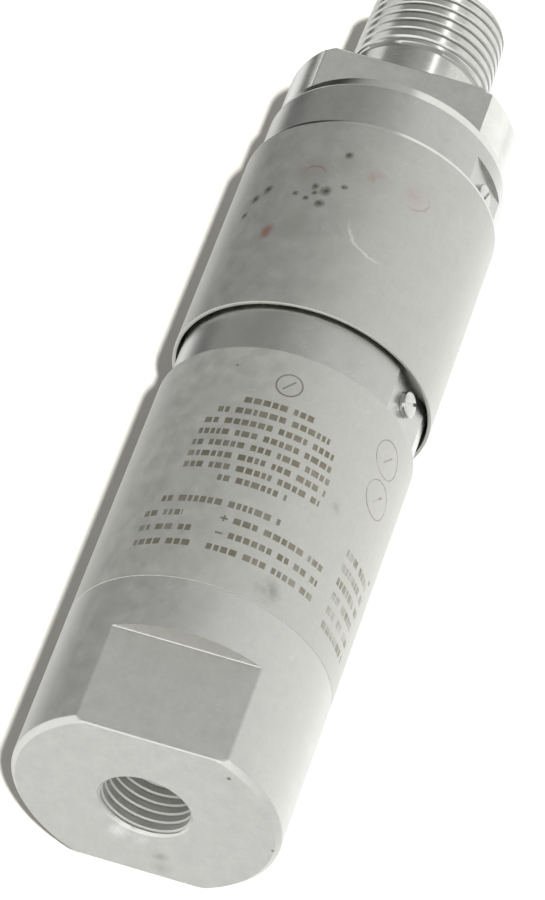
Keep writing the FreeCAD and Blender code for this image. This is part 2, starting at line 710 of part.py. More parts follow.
def axial_resistors():
    """Row of resistors on the front, each with its two wires bent into the board."""
    row = []
    y = amplifier_front_y - RESISTOR_R
    for i in range(RESISTOR_COUNT):
        z = amplifier_z + RESISTOR_FIRST_RISE + RESISTOR_PITCH * i
        body = rod(RESISTOR_R, Vector(-RESISTOR_LENGTH / 2, y, z), Vector(RESISTOR_LENGTH / 2, y, z))
        half = RESISTOR_SPAN / 2
        wire = rod(RESISTOR_WIRE_R, Vector(-half, y, z), Vector(half, y, z))
        for x in (-half, half):
            wire = wire.fuse(rod(RESISTOR_WIRE_R, Vector(x, y, z), Vector(x, amplifier_front_y, z)))
            wire = wire.fuse(Part.makeSphere(RESISTOR_WIRE_R, Vector(x, y, z)))
        row.append(body.fuse(wire))
    return row


def pass_transistor():
    base = Vector(transistor_x, amplifier_back_y, amplifier_z + TRANSISTOR_RISE)
    out = Vector(0, 1, 0)
    flange = rod(TRANSISTOR_FLANGE_R, base, base + out * TRANSISTOR_FLANGE)
    return flange.fuse(rod(TRANSISTOR_R, base, base + out * TRANSISTOR_LENGTH))


def lead_terminals():
    """Turret posts that the leads are soldered to."""
    posts = []
    out = Vector(0, -1, 0)
    first = -TERMINAL_PITCH * (TERMINAL_COUNT - 1) / 2
    for i in range(TERMINAL_COUNT):
        base = Vector(first + TERMINAL_PITCH * i, amplifier_front_y, amplifier_top_z - TERMINAL_DROP)
        post = rod(TERMINAL_R, base, base + out * TERMINAL_LENGTH)
        for start in (0.0, TERMINAL_LENGTH - TERMINAL_FLANGE):
            low = base + out * start
            post = post.fuse(rod(TERMINAL_FLANGE_R, low, low + out * TERMINAL_FLANGE))
        posts.append(post)
    return posts


# ---- End cap and what is in it ---------------------------------------------------------------------
def cap_groove():
    low = cap_bottom_z + CAP_GROOVE_RISE
    return low, low + CAP_GROOVE_WIDTH, spigot_r - CAP_GROOVE_DEPTH


def lead_holes(z_low, z_high):
    return [upright(LEAD_HOLE_R, z_low, z_high, c) for c in around(LEAD_COUNT, LEAD_CIRCLE_R)]


def end_cap():
    """Turned top: spigot, bevelled ring, wrench flats, plain shank and the conduit thread's blank."""
    groove_low, groove_high, groove_r = cap_groove()
    body = turned([
        (cap_cavity_r, cap_bottom_z),
        (spigot_r, cap_bottom_z),
        (spigot_r, groove_low),
        (groove_r, groove_low),
        (groove_r, groove_high),
        (spigot_r, groove_high),
        (spigot_r, neck_top_z),
        (neck_r, neck_top_z),
        (cap_r, cap_ledge_z),
        (cap_r, cap_top_z - CAP_TOP_CHAMFER),
        (cap_r - CAP_TOP_CHAMFER, cap_top_z),
        (SHANK_R, cap_top_z),
        (SHANK_R, shank_top_z),
        (CONDUIT_R, shank_top_z),
        (CONDUIT_R, conduit_end_z - CONDUIT_END_CHAMFER),
        (CONDUIT_R - CONDUIT_END_CHAMFER, conduit_end_z),
        (CONDUIT_BORE_R, conduit_end_z),
        (CONDUIT_BORE_R, lip_top_z),
        (lip_r, lip_top_z),
        (lip_r, cap_roof_z),
        (cap_cavity_r, cap_roof_z),
    ])
    body = body.cut(outward_band(CAP_FLAT_HALF, 2 * cap_r, cap_ledge_z, cap_top_z + 1))
    tapped_r = GROUND_SCREW_R + STUD_HOLE_GAP
    tapped_z = cap_roof_z + GROUND_SCREW_REACH + STUD_HOLE_GAP
    return body.cut(upright(tapped_r, cap_roof_z - 1, tapped_z, Vector(ground_screw_x, 0, 0)))


def cap_seal():
    groove_low, groove_high, groove_r = cap_groove()
    return o_ring(groove_r, housing_bore_r - CAP_SEAL_GAP, (groove_low + groove_high) / 2)


def ground_lug():
    """Ring tongue under the ground screw, with its crimp barrel turned down."""
    centre = Vector(ground_screw_x, 0, 0)
    low = cap_roof_z - LUG_THICKNESS
    half = LUG_TAIL_WIDTH / 2
    tongue = upright(LUG_R, low, cap_roof_z, centre)
    tail = block((centre.x - half, centre.x + half), (0, LUG_TAIL_REACH), (low, cap_roof_z))
    barrel_centre = Vector(centre.x, LUG_TAIL_REACH - LUG_BARREL_R, 0)
    barrel = upright(LUG_BARREL_R, low - LUG_BARREL_LENGTH, low, barrel_centre)
    hole = upright(GROUND_SCREW_R + STUD_HOLE_GAP, low, cap_roof_z, centre)
    return tongue.fuse(tail).fuse(barrel).cut(hole)


def ground_screw():
    centre = Vector(ground_screw_x, 0, 0)
    head_top = cap_roof_z - LUG_THICKNESS
    head_low = head_top - GROUND_HEAD_HEIGHT
    head = upright(GROUND_HEAD_R, head_low, head_top, centre)
    shank = upright(GROUND_SCREW_R, head_top, cap_roof_z + GROUND_SCREW_REACH, centre)
    half = SCREW_SLOT_WIDTH / 2
    slot = block(
        (centre.x - GROUND_HEAD_R, centre.x + GROUND_HEAD_R),
        (-half, half),
        (head_low - 1, head_low + SCREW_SLOT_DEPTH),
    )
    return head.fuse(shank).cut(slot)


def lead_grommet():
    low, high = lip_top_z, lip_top_z + GROMMET_HEIGHT
    grommet = upright(CONDUIT_BORE_R - SEAT_GAP, low, high)
    for hole in lead_holes(low, high):
        grommet = grommet.cut(hole)
    return grommet


def potting_plug():
    low = lip_top_z + GROMMET_HEIGHT
    high = low + POTTING_HEIGHT
    plug = upright(CONDUIT_BORE_R - BOND_GAP, low, high)
    for hole in lead_holes(low, high):
        plug = plug.cut(hole)
    return plug


PIECES = {
    "process_fitting": process_fitting,
    "isolation_diaphragm": isolation_diaphragm,
    "sensor_header": sensor_header,
    "header_seal": header_seal,
    "die_pedestal": die_pedestal,
    "sensor_die": sensor_die,
    "header_pins": header_pins,
    "pin_glass": pin_glass,
    "fill_ball": fill_ball,
    "retaining_ring": retaining_ring,
    "housing": housing,
    "cover_sleeve": cover_sleeve,
    "lower_sleeve_seal": lambda: sleeve_seal(lower_seal_z),
    "upper_sleeve_seal": lambda: sleeve_seal(upper_seal_z),
    "carrier_screws": carrier_screws,
    "board_pillars": board_pillars,
    "compensation_board": compensation_board,
    "board_screws": board_screws,
    "link_block": link_block,
    "link_pins": link_pins,
    "amplifier_board": amplifier_board,
    "board_carrier": board_carrier,
    "zero_trimmer": lambda: trimmer(zero_z),
    "span_trimmer": lambda: trimmer(span_z),
    "zero_adjuster": lambda: adjuster(zero_z),
    "span_adjuster": lambda: adjuster(span_z),
    "amplifier_chips": amplifier_chips,
    "filter_capacitors": filter_capacitors,
    "axial_resistors": axial_resistors,
    "pass_transistor": pass_transistor,
    "lead_terminals": lead_terminals,
    "end_cap": end_cap,
    "cap_seal": cap_seal,
    "ground_lug": ground_lug,
    "ground_screw": ground_screw,
    "lead_grommet": lead_grommet,
    "potting_plug": potting_plug,
}


def main():
    os.makedirs("parts", exist_ok=True)
    for name, make in PIECES.items():
        shape = make()
        if isinstance(shape, list):
            shape = Part.makeCompound(shape)
        shape.exportStep(f"parts/{name}.step")
        print(f"{name}: {len(shape.Solids)} solid(s), {shape.Volume:.1f} mm3, valid {shape.isValid()}")


main()
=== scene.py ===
"""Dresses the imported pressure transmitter: turned shells with cut threads, marks, finishes, light and camera.

Lengths are written in millimetres and turned into metres where they reach Blender. Bearings are degrees about
the vertical axis, measured from the front (-Y) towards +X.
"""

import math
import random

import bmesh
import bpy
from mathutils import Matrix, Vector


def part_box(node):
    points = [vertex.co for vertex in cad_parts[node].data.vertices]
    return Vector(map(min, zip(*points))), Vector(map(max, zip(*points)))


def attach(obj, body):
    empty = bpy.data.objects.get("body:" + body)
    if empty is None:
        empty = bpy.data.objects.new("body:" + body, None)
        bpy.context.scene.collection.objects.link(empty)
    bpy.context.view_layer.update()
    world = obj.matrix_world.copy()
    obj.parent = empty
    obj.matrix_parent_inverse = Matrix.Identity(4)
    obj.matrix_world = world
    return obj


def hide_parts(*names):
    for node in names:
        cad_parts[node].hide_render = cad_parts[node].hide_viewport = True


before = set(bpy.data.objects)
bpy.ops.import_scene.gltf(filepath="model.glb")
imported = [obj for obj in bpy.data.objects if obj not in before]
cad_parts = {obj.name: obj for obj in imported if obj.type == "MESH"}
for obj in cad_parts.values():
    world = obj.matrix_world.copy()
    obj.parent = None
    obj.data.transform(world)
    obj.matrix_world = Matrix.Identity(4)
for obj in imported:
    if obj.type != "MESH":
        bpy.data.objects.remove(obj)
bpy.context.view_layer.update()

MM = 0.001
FULL_TURN = 2 * math.pi
UP = Vector((0, 0, 1))
random.seed(11)


# ---- Sizes read from the frame ---------------------------------------------------------------------
def box_mm(node):
    low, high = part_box(node)
    return low / MM, high / MM


def middle_z(node):
    low, high = box_mm(node)
    return (low.z + high.z) / 2


fitting_low, fitting_high = box_mm("process_fitting")
housing_low, housing_high = box_mm("housing")
sleeve_low, sleeve_high = box_mm("cover_sleeve")
cap_low, cap_high = box_mm("end_cap")
header_low, header_high = box_mm("sensor_header")
screw_low, screw_high = box_mm("carrier_screws")
lug_low, lug_high = box_mm("ground_lug")

face_z = fitting_low.z
weld_z = housing_low.z
spigot_top_z = fitting_high.z
neck_top_z = housing_high.z
sleeve_z = sleeve_low.z
sleeve_top_z = sleeve_high.z
sleeve_outer_r = sleeve_high.x
cap_bottom_z = cap_low.z
conduit_end_z = cap_high.z
adjuster_heights = (middle_z("zero_adjuster"), middle_z("span_adjuster"))
seal_heights = (middle_z("lower_sleeve_seal"), middle_z("upper_sleeve_seal"))
cap_seal_z = middle_z("cap_seal")
header_top_z = header_high.z
grommet_z = box_mm("lead_grommet")[0].z
cap_roof_z = lug_high.z
ground_x = (lug_low.x + lug_high.x) / 2

# ---- Sizes of the shells ---------------------------------------------------------------------------
# They are the solids' own, but for the weld groove (shallower), the sleeve's upper edge (taller bevel)
# and the screws' slots (turned, a little narrower).
BODY_R = 19.05
OPEN = BODY_R + 2.0             # half across where no flat is milled
WRENCH_FLAT_HALF = 15.875
WRENCH_FLAT_LENGTH = 16.1
FACE_CHAMFER = 0.8
FLAT_EDGE_BREAK = 0.25
WELD_BREAK = 0.09
SHOULDER_Z = 66.3
SHOULDER_CHAMFER = 0.45
NECK_R = 18.25
HOUSING_BORE_R = 15.9
SPIGOT_R = 15.85
CAVITY_R = 9.0
CAVITY_DEPTH = 0.8
CHANNEL_R = 1.6
CHANNEL_TOP_Z = 19.388
CHANNEL_LENGTH = 1.6
SEAT_GAP = 0.05                 # radial gap round a part that only locates in a bore
DIAPHRAGM_THICKNESS = 0.12
SEAL_GROOVE_DEPTH = 1.25
SEAL_GROOVE_WIDTH = 2.3
SLEEVE_BORE_R = 18.75
SLEEVE_BEVEL = 0.2              # in from the sleeve's upper edge
SLEEVE_BEVEL_HEIGHT = 0.7
ADJUST_PORT_R = 2.0
FLAT_BEARING = 65.0
FLAT_DEPTH = 0.7
LOWER_FLAT_TOP_Z = 75.7
UPPER_FLAT_Z = 108.6
UPPER_FLAT_TOP_Z = 115.6
MILL_ENDS = (-9.0, 10.4)        # where the cutter of a flat starts and ends along it
MILL_CLEARANCE = 3.0            # how far it stands out of the body
MILL_LIFT = 0.001               # keeps it off the shoulder
BORE_START = 10.0               # reaches of the cutters that go through the neck's wall
BORE_END = 25.0
SCREW_OFFSET = 0.7              # nearer the front than the flat's middle
SCREW_HOLE_R = 1.16
SCREW_R = 1.1
SCREW_END_REACH = 12.8
SCREW_END_CHAMFER = 0.2
SCREW_HEAD_R = 1.9
SCREW_HEAD_HEIGHT = 0.95
SCREW_HEAD_EDGE = 0.22          # rounding of the head's rim
SCREW_EDGE_STEPS = 5
SCREW_SEAT_EDGE = 0.05          # chamfer under the head
SCREW_SLOTS = (40.0, 70.0)      # turn of each slot up from level
SLOT_WIDTH = 0.5
SLOT_DEPTH = 0.55
SLOT_CUTTER_HALF = 3.0
STUD_HOLE_R = 0.84
STUD_CIRCLE_R = 14.175
STUD_HOLE_DEPTH = 2.54
STUD_BEARINGS = (60.0, 180.0, 300.0)
CAP_R = 17.7
CAP_RING_HEIGHT = 1.8
CAP_FLAT_HALF = 12.1
CAP_TOP_Z = 128.5
CAP_TOP_CHAMFER = 0.9
CAP_CAVITY_R = 13.0
CAP_GROOVE_R = 14.65
CAP_GROOVE_WIDTH = 1.8
SHANK_R = 10.2
SHANK_TOP_Z = 134.8
SHANK_EDGE = 0.2                # from the shank's last point up to the thread
CONDUIT_BORE_R = 7.5
LIP_R = 6.5
GROUND_HOLE_R = 1.14
GROUND_HOLE_DEPTH = 4.24

# ---- Pipe threads ----------------------------------------------------------------------------------
# The solids have plain walls at the pitch radius in their place, and a slightly wider port rim.
NPT_TAPER = 1 / 32              # of radius to length
CONDUIT_PITCH = 1.814           # 14 to the inch
CONDUIT_CREST_R = 10.36         # at the small end
CONDUIT_BLANK_R = 10.62
CONDUIT_DEPTH = 0.5
CONDUIT_RUNOUT = 5.0            # length in which the thread fades towards the shank
CONDUIT_RUNOUT_LOSS = 0.3       # share of its depth that it loses there
CONDUIT_START_STEP = 0.1        # out from the shank where the thread starts
CONDUIT_START_SLOPE = 1.5
CONDUIT_TIP_STEP = 0.4          # in from the crest at the small end
CONDUIT_TIP_SLOPE = 1.2
PORT_PITCH = 1.411              # 18 to the inch
PORT_ROOT_R = 6.55              # at the mouth
PORT_THREAD_DEPTH = 0.24
PORT_THREAD_LENGTH = 12.2
PORT_DRILL_R = 5.56
PORT_RIM_R = 6.7
DRILL_POINT_SLOPE = math.tan(math.radians(59.0))
GROOVE_EDGE = 0.205             # half a groove's mouth, as a share of the pitch
GROOVE_FLANK = 0.15             # what one of its flanks takes of that
THREAD_PHASES = (0.0, 0.05, 0.12, 0.185, 0.215, 0.26, 0.5, 0.74, 0.785, 0.815, 0.88, 0.95)

COLUMNS = 360                   # round a shell
ROUND_SIDES = 64                # of a cutter or a screw
SOFT_CORNER = 0.14              # rounding where a flat meets the turned surface
CORNER_REACH = 0.1              # rounding of a corner that has no reach of its own
CORNER_STEPS = 3
LEAST_CORNER = 0.01             # smaller roundings stay sharp
MERGE_DISTANCE = 1e-4
SHARP_ANGLE = 35.0


# ---- Mesh tools ------------------------------------------------------------------------------------
def bearing_point(radius, bearing, z):
    angle = math.radians(bearing)
    return Vector((radius * math.sin(angle), -radius * math.cos(angle), z))


def softened(corners):
    """Closed outline whose corners (radius, flat half, z, own reach) are rounded off with short curves."""
    points = [Vector(corner[:3]) for corner in corners]
    count = len(points)
    outline = []
    for i, point in enumerate(points):
        reach = corners[i][3] if len(corners[i]) > 3 else CORNER_REACH
        before, after = points[i - 1] - point, points[(i + 1) % count] - point
        cut = min(reach, 0.45 * min(before.length, after.length))
        if cut < LEAST_CORNER:
            outline.append(point)
            continue
        start, end = point + before.normalized() * cut, point + after.normalized() * cut
        for step in range(CORNER_STEPS + 1):
            t = step / CORNER_STEPS
            outline.append(start * (1 - t) ** 2 + point * (2 * t * (1 - t)) + end * t ** 2)
    return outline


def flat_limited(radius, half, bearing):
    """Radius of a turned surface at a bearing, where flats at the front and back cut into it."""
    across = abs(math.cos(math.radians(bearing)))
    if across < 1e-6 or half / across > radius + SOFT_CORNER:
        return radius
    reach = half / across
    blend = max(SOFT_CORNER - abs(radius - reach), 0.0)
    return min(radius, reach) - blend * blend / (4 * SOFT_CORNER)


def bearings(*corners):
    """Evenly spaced bearings, with a few more beside each corner (radius, half) of a pair of flats."""
    found = {round(360.0 * i / COLUMNS, 4) for i in range(COLUMNS + 1)}
    for radius, half in corners:
        corner = math.degrees(math.acos(half / radius))
        for bearing in (corner, 180 - corner, 180 + corner, 360 - corner):
            found.update(round(bearing + step, 4) for step in (-0.6, -0.3, 0.0, 0.3, 0.6))
    return sorted(found)


def groove(z, bearing, pitch):
    """How deep a right-handed thread is cut at a height: 1 on the groove's floor, 0 on the broad crest."""
    phase = (z / pitch - bearing / 360.0) % 1.0
    away = min(phase, 1.0 - phase)
    return min(max((GROOVE_EDGE - away) / GROOVE_FLANK, 0.0), 1.0)


def thread_rows(z_low, z_high, bearing, pitch):
    """Heights that follow the helix, held between the thread's two ends."""
    first = math.floor(z_low / pitch) - 1 + bearing / 360.0
    turns = math.ceil((z_high - z_low) / pitch) + 2
    heights = [(first + turn + phase) * pitch for turn in range(turns) for phase in THREAD_PHASES]
    return [min(max(z, z_low), z_high) for z in heights + [(first + turns) * pitch]]


def linked(name, data):
    """New object in the scene."""
    holder = bpy.data.objects.new(name, data)
    bpy.context.scene.collection.objects.link(holder)
    return holder


def piece_of(name, bm):
    """Object made of a bmesh, with its faces turned outwards."""
    bmesh.ops.recalc_face_normals(bm, faces=bm.faces)
    mesh = bpy.data.meshes.new(name)
    bm.to_mesh(mesh)
    bm.free()
    return linked(name, mesh)


def shell(name, columns, outline_at):
    """Closed piece from an outline of (radius, z) at each bearing. The last bearing meets the first."""
    bm = bmesh.new()
    rings = []
    for bearing in columns:
        outline = outline_at(bearing)
        rings.append([bm.verts.new(bearing_point(radius, bearing, z) * MM) for radius, z in outline])
    rows = len(rings[0])
    for left, right in zip(rings, rings[1:]):
        for j in range(rows):
            k = (j + 1) % rows
            bm.faces.new((left[j], left[k], right[k], right[j]))
    bmesh.ops.remove_doubles(bm, verts=bm.verts, dist=MERGE_DISTANCE * MM)
    bmesh.ops.dissolve_degenerate(bm, edges=bm.edges, dist=MERGE_DISTANCE / 10 * MM)
    return piece_of(name, bm)


def rod(name, radius, start, end):
    """Straight round cutter between two points."""
    bm = bmesh.new()
    axis = (end - start).normalized()
    side = axis.orthogonal().normalized()
    other = axis.cross(side)
    rims = []
    for centre in (start, end):
        rims.append([
            bm.verts.new((centre + (side * math.cos(a) + other * math.sin(a)) * radius) * MM)
            for a in (FULL_TURN * i / ROUND_SIDES for i in range(ROUND_SIDES))
        ])
    for i in range(ROUND_SIDES):
        k = (i + 1) % ROUND_SIDES
        bm.faces.new((rims[0][i], rims[0][k], rims[1][k], rims[1][i]))
    bm.faces.new(reversed(rims[0]))
    bm.faces.new(rims[1])
    return piece_of(name, bm)


def block(name, corners):
    """Six-sided cutter. Corner 4 i + 2 j + k lies at end i, j and k of the block's three edges."""
    bm = bmesh.new()
    verts = [bm.verts.new(corner * MM) for corner in corners]
    for face in ((0, 1, 3, 2), (4, 5, 7, 6), (0, 1, 5, 4), (2, 3, 7, 6), (0, 2, 6, 4), (1, 3, 7, 5)):
        bm.faces.new([verts[i] for i in face])
    return piece_of(name, bm)


def bored(piece, cutters):
    """Takes each cutter out of the piece and removes the cutters."""
    for cutter in cutters:
        cut = piece.modifiers.new("bore", "BOOLEAN")
        cut.operation = "DIFFERENCE"
        cut.solver = "EXACT"
        cut.object = cutter
    graph = bpy.context.evaluated_depsgraph_get()
    mesh = bpy.data.meshes.new_from_object(piece.evaluated_get(graph))
    piece.modifiers.clear()
    piece.data = mesh
    for cutter in cutters:
        bpy.data.objects.remove(cutter, do_unlink=True)


def finish_shading(piece):
    """Smooth shading that keeps the sharp edges, with the normals weighted by face."""
    piece.data.shade_smooth()
    piece.data.set_sharp_from_angle(angle=math.radians(SHARP_ANGLE))
    weighted = piece.modifiers.new("weighted_normals", "WEIGHTED_NORMAL")
    weighted.keep_sharp = True
    weighted.weight = 100


# ---- Shells ----------------------------------------------------------------------------------------
def outline_with_flats(corners, bearing):
    return [(flat_limited(radius, half, bearing), z) for radius, half, z in softened(corners)]


def fitting_outline(bearing):
    """Flats, chamfer and body outside, then spigot, cavity, drill point and port thread inside."""
    ring_bore_r = box_mm("retaining_ring")[1].x + SEAT_GAP
    header_bore_r = header_high.x + SEAT_GAP
    seat_z = header_low.z - DIAPHRAGM_THICKNESS
    drill_point_z = CHANNEL_TOP_Z - CHANNEL_LENGTH
    skin = [
        (PORT_RIM_R, OPEN, face_z, 0.06),
        (BODY_R - FACE_CHAMFER, WRENCH_FLAT_HALF - FLAT_EDGE_BREAK, face_z, 0.12),
        (BODY_R - FACE_CHAMFER + FLAT_EDGE_BREAK, WRENCH_FLAT_HALF, FLAT_EDGE_BREAK, 0.05),
        (BODY_R, WRENCH_FLAT_HALF, FACE_CHAMFER, 0.15),
        (BODY_R, WRENCH_FLAT_HALF, WRENCH_FLAT_LENGTH, 0.2),
        (BODY_R, OPEN, WRENCH_FLAT_LENGTH, 0.2),
        (BODY_R, OPEN, weld_z - WELD_BREAK, 0.05),
        (BODY_R - WELD_BREAK, OPEN, weld_z, 0.03),
        (SPIGOT_R, OPEN, weld_z),
        (SPIGOT_R, OPEN, spigot_top_z),
        (ring_bore_r, OPEN, spigot_top_z),
        (ring_bore_r, OPEN, header_top_z - DIAPHRAGM_THICKNESS),
        (header_bore_r, OPEN, header_top_z - DIAPHRAGM_THICKNESS),
        (header_bore_r, OPEN, seat_z),
        (CAVITY_R, OPEN, seat_z),
        (CAVITY_R, OPEN, seat_z - CAVITY_DEPTH),
        (CHANNEL_R, OPEN, seat_z - CAVITY_DEPTH),
        (CHANNEL_R, OPEN, drill_point_z),
        (PORT_DRILL_R, OPEN, drill_point_z - (PORT_DRILL_R - CHANNEL_R) / DRILL_POINT_SLOPE),
    ]
    thread = []
    for z in reversed(thread_rows(face_z, PORT_THREAD_LENGTH, bearing, PORT_PITCH)):
        root = PORT_ROOT_R - NPT_TAPER * z
        fade = min((PORT_THREAD_LENGTH - z) / PORT_PITCH, 1.0)
        crest = max(root - PORT_THREAD_DEPTH, PORT_DRILL_R)
        cut = crest + (root - crest) * groove(z, bearing, PORT_PITCH)
        radius = PORT_DRILL_R + (cut - PORT_DRILL_R) * max(fade, 0.0)
        thread.append((max(radius, PORT_RIM_R - (z - face_z)), z))
    return outline_with_flats(skin, bearing) + thread


def housing_outline(bearing):
    """Body, shoulder and grooved neck outside, and the plain bore inside."""
    groove_r = NECK_R - SEAL_GROOVE_DEPTH
    corners = [
        (HOUSING_BORE_R, OPEN, weld_z),
        (BODY_R - WELD_BREAK, OPEN, weld_z, 0.03),
        (BODY_R, OPEN, weld_z + WELD_BREAK, 0.05),
        (BODY_R, OPEN, SHOULDER_Z - SHOULDER_CHAMFER, 0.15),
        (BODY_R - SHOULDER_CHAMFER, OPEN, SHOULDER_Z, 0.1),
        (NECK_R, OPEN, SHOULDER_Z, 0.1),
    ]
    for seal_z in seal_heights:
        groove_low = seal_z - SEAL_GROOVE_WIDTH / 2
        groove_high = groove_low + SEAL_GROOVE_WIDTH
        corners += [
            (NECK_R, OPEN, groove_low),
            (groove_r, OPEN, groove_low),
            (groove_r, OPEN, groove_high),
            (NECK_R, OPEN, groove_high),
        ]
    corners += [(NECK_R, OPEN, neck_top_z, 0.12), (HOUSING_BORE_R, OPEN, neck_top_z)]
    return outline_with_flats(corners, bearing)


def sleeve_outline(bearing):
    """Plain tube with a bevel round its upper edge."""
    corners = [
        (SLEEVE_BORE_R, OPEN, sleeve_z),
        (sleeve_outer_r, OPEN, sleeve_z, 0.2),
        (sleeve_outer_r, OPEN, sleeve_top_z - SLEEVE_BEVEL_HEIGHT),
        (sleeve_outer_r - SLEEVE_BEVEL, OPEN, sleeve_top_z, 0.1),
        (SLEEVE_BORE_R, OPEN, sleeve_top_z),
    ]
    return outline_with_flats(corners, bearing)


def cap_outline(bearing):
    """Spigot, bevelled ring and flats, then the shank and the conduit thread, and back down the bore."""
    ledge_z = neck_top_z + CAP_RING_HEIGHT
    groove_low = cap_seal_z - CAP_GROOVE_WIDTH / 2
    lower = [
        (CAP_CAVITY_R, OPEN, cap_bottom_z),
        (SPIGOT_R, OPEN, cap_bottom_z),
        (SPIGOT_R, OPEN, groove_low),
        (CAP_GROOVE_R, OPEN, groove_low),
        (CAP_GROOVE_R, OPEN, groove_low + CAP_GROOVE_WIDTH),
        (SPIGOT_R, OPEN, groove_low + CAP_GROOVE_WIDTH),
        (SPIGOT_R, OPEN, neck_top_z),
        (NECK_R, OPEN, neck_top_z, 0.15),
        (CAP_R, OPEN, ledge_z, 0.1),
        (CAP_R, CAP_FLAT_HALF, ledge_z, 0.12),
        (CAP_R, CAP_FLAT_HALF, CAP_TOP_Z - CAP_TOP_CHAMFER, 0.15),
        (CAP_R - CAP_TOP_CHAMFER, CAP_FLAT_HALF, CAP_TOP_Z, 0.12),
        (SHANK_R, OPEN, CAP_TOP_Z, 0.3),
        (SHANK_R, OPEN, SHANK_TOP_Z - SHANK_EDGE),
    ]
    upper = [
        (CONDUIT_BORE_R, OPEN, conduit_end_z, 0.3),
        (CONDUIT_BORE_R, OPEN, grommet_z),
        (LIP_R, OPEN, grommet_z),
        (LIP_R, OPEN, cap_roof_z),
        (CAP_CAVITY_R, OPEN, cap_roof_z),
    ]
    thread = []
    for z in thread_rows(SHANK_TOP_Z, conduit_end_z, bearing, CONDUIT_PITCH):
        taper = NPT_TAPER * (conduit_end_z - z)
        fade = max(1.0 - (z - SHANK_TOP_Z) / CONDUIT_RUNOUT, 0.0)
        crest = min(CONDUIT_CREST_R + taper, CONDUIT_BLANK_R)
        depth = CONDUIT_DEPTH * (1.0 - CONDUIT_RUNOUT_LOSS * fade)
        cut = crest - depth * groove(z, bearing, CONDUIT_PITCH)
        start = SHANK_R + CONDUIT_START_STEP + CONDUIT_START_SLOPE * (z - SHANK_TOP_Z)
        tip = CONDUIT_CREST_R - CONDUIT_TIP_STEP + CONDUIT_TIP_SLOPE * (conduit_end_z - z)
        thread.append((min(cut, start, tip), z))
    return outline_with_flats(lower, bearing) + thread + outline_with_flats(upper, bearing)


flat_out = bearing_point(1.0, FLAT_BEARING, 0)
flat_reach = NECK_R - FLAT_DEPTH
screw_heights = (screw_low.z + SCREW_HEAD_R, screw_high.z - SCREW_HEAD_R)


def on_flat(reach, across, z):
    """Point placed from a carrier screw's line, square to the neck's flats."""
    return flat_out * reach + UP.cross(flat_out) * (across - SCREW_OFFSET) + UP * z


def neck_flat(low, high):
    """What the mill takes off the neck for one screw head."""
    return block("neck_flat", [
        on_flat(reach, across, z)
        for z in (low, high) for across in MILL_ENDS for reach in (flat_reach, BODY_R + MILL_CLEARANCE)
    ])


def adjust_port(z):
    return rod("adjust_port", ADJUST_PORT_R, Vector((0, -BORE_START, z)), Vector((0, -BORE_END, z)))


def screw_hole(z):
    return rod("screw_hole", SCREW_HOLE_R, on_flat(BORE_START, 0.0, z), on_flat(BORE_END, 0.0, z))


fitting = shell("process_fitting_turned", bearings((BODY_R, WRENCH_FLAT_HALF)), fitting_outline)
stud_centres = [bearing_point(STUD_CIRCLE_R, bearing, spigot_top_z) for bearing in STUD_BEARINGS]
bored(fitting, [
    rod("stud_hole", STUD_HOLE_R, centre - UP * STUD_HOLE_DEPTH, centre + UP) for centre in stud_centres
])

housing = shell("housing_turned", bearings(), housing_outline)
bored(housing, [
    *(adjust_port(z) for z in adjuster_heights),
    neck_flat(SHOULDER_Z + MILL_LIFT, LOWER_FLAT_TOP_Z),
    neck_flat(UPPER_FLAT_Z, UPPER_FLAT_TOP_Z),
    *(screw_hole(z) for z in screw_heights),
])

sleeve = shell("cover_sleeve_turned", bearings(), sleeve_outline)

cap = shell("end_cap_turned", bearings((CAP_R, CAP_FLAT_HALF)), cap_outline)
ground_hole = Vector((ground_x, 0, cap_roof_z))
bored(cap, [rod("ground_hole", GROUND_HOLE_R, ground_hole - UP, ground_hole + UP * GROUND_HOLE_DEPTH)])


def screws():
    """Two slotted cheese-head screws with rounded head edges."""
    top = flat_reach + SCREW_HEAD_HEIGHT
    profile = [
        (SCREW_END_REACH, 0.0), (SCREW_END_REACH, SCREW_R - SCREW_END_CHAMFER),
        (SCREW_END_REACH + SCREW_END_CHAMFER, SCREW_R), (flat_reach, SCREW_R),
        (flat_reach, SCREW_HEAD_R - SCREW_SEAT_EDGE), (flat_reach + SCREW_SEAT_EDGE, SCREW_HEAD_R),
    ]
    for step in range(SCREW_EDGE_STEPS + 1):
        turn = math.radians(90 * step / SCREW_EDGE_STEPS)
        profile.append((
            top - SCREW_HEAD_EDGE + SCREW_HEAD_EDGE * math.sin(turn),
            SCREW_HEAD_R - SCREW_HEAD_EDGE + SCREW_HEAD_EDGE * math.cos(turn),
        ))
    profile.append((top, 0.0))
    bm = bmesh.new()
    for z in screw_heights:
        rings = []
        for i in range(ROUND_SIDES):
            turn = FULL_TURN * i / ROUND_SIDES
            spots = (on_flat(reach, r * math.cos(turn), z + r * math.sin(turn)) for reach, r in profile)
            rings.append([bm.verts.new(spot * MM) for spot in spots])
        for left, right in zip(rings, rings[1:] + rings[:1]):
            for j in range(len(profile) - 1):
                bm.faces.new((left[j], left[j + 1], right[j + 1], right[j]))
    bmesh.ops.remove_doubles(bm, verts=bm.verts, dist=MERGE_DISTANCE * MM)
    piece = piece_of("carrier_screws_turned", bm)
    slots = []
    for z, tilt in zip(screw_heights, SCREW_SLOTS):
        along = Vector((math.cos(math.radians(tilt)), math.sin(math.radians(tilt))))
        side = Vector((-along.y, along.x)) * SLOT_WIDTH / 2
        corners = []
        for depth in (top - SLOT_DEPTH, top + 1.0):
            for end in (-SLOT_CUTTER_HALF, SLOT_CUTTER_HALF):
                for sign in (-1, 1):
                    spot = along * end + side * sign
                    corners.append(on_flat(depth, spot.x, z + spot.y))
        slots.append(block("screw_slot", corners))
    bored(piece, slots)
    return piece


screw_pair = screws()

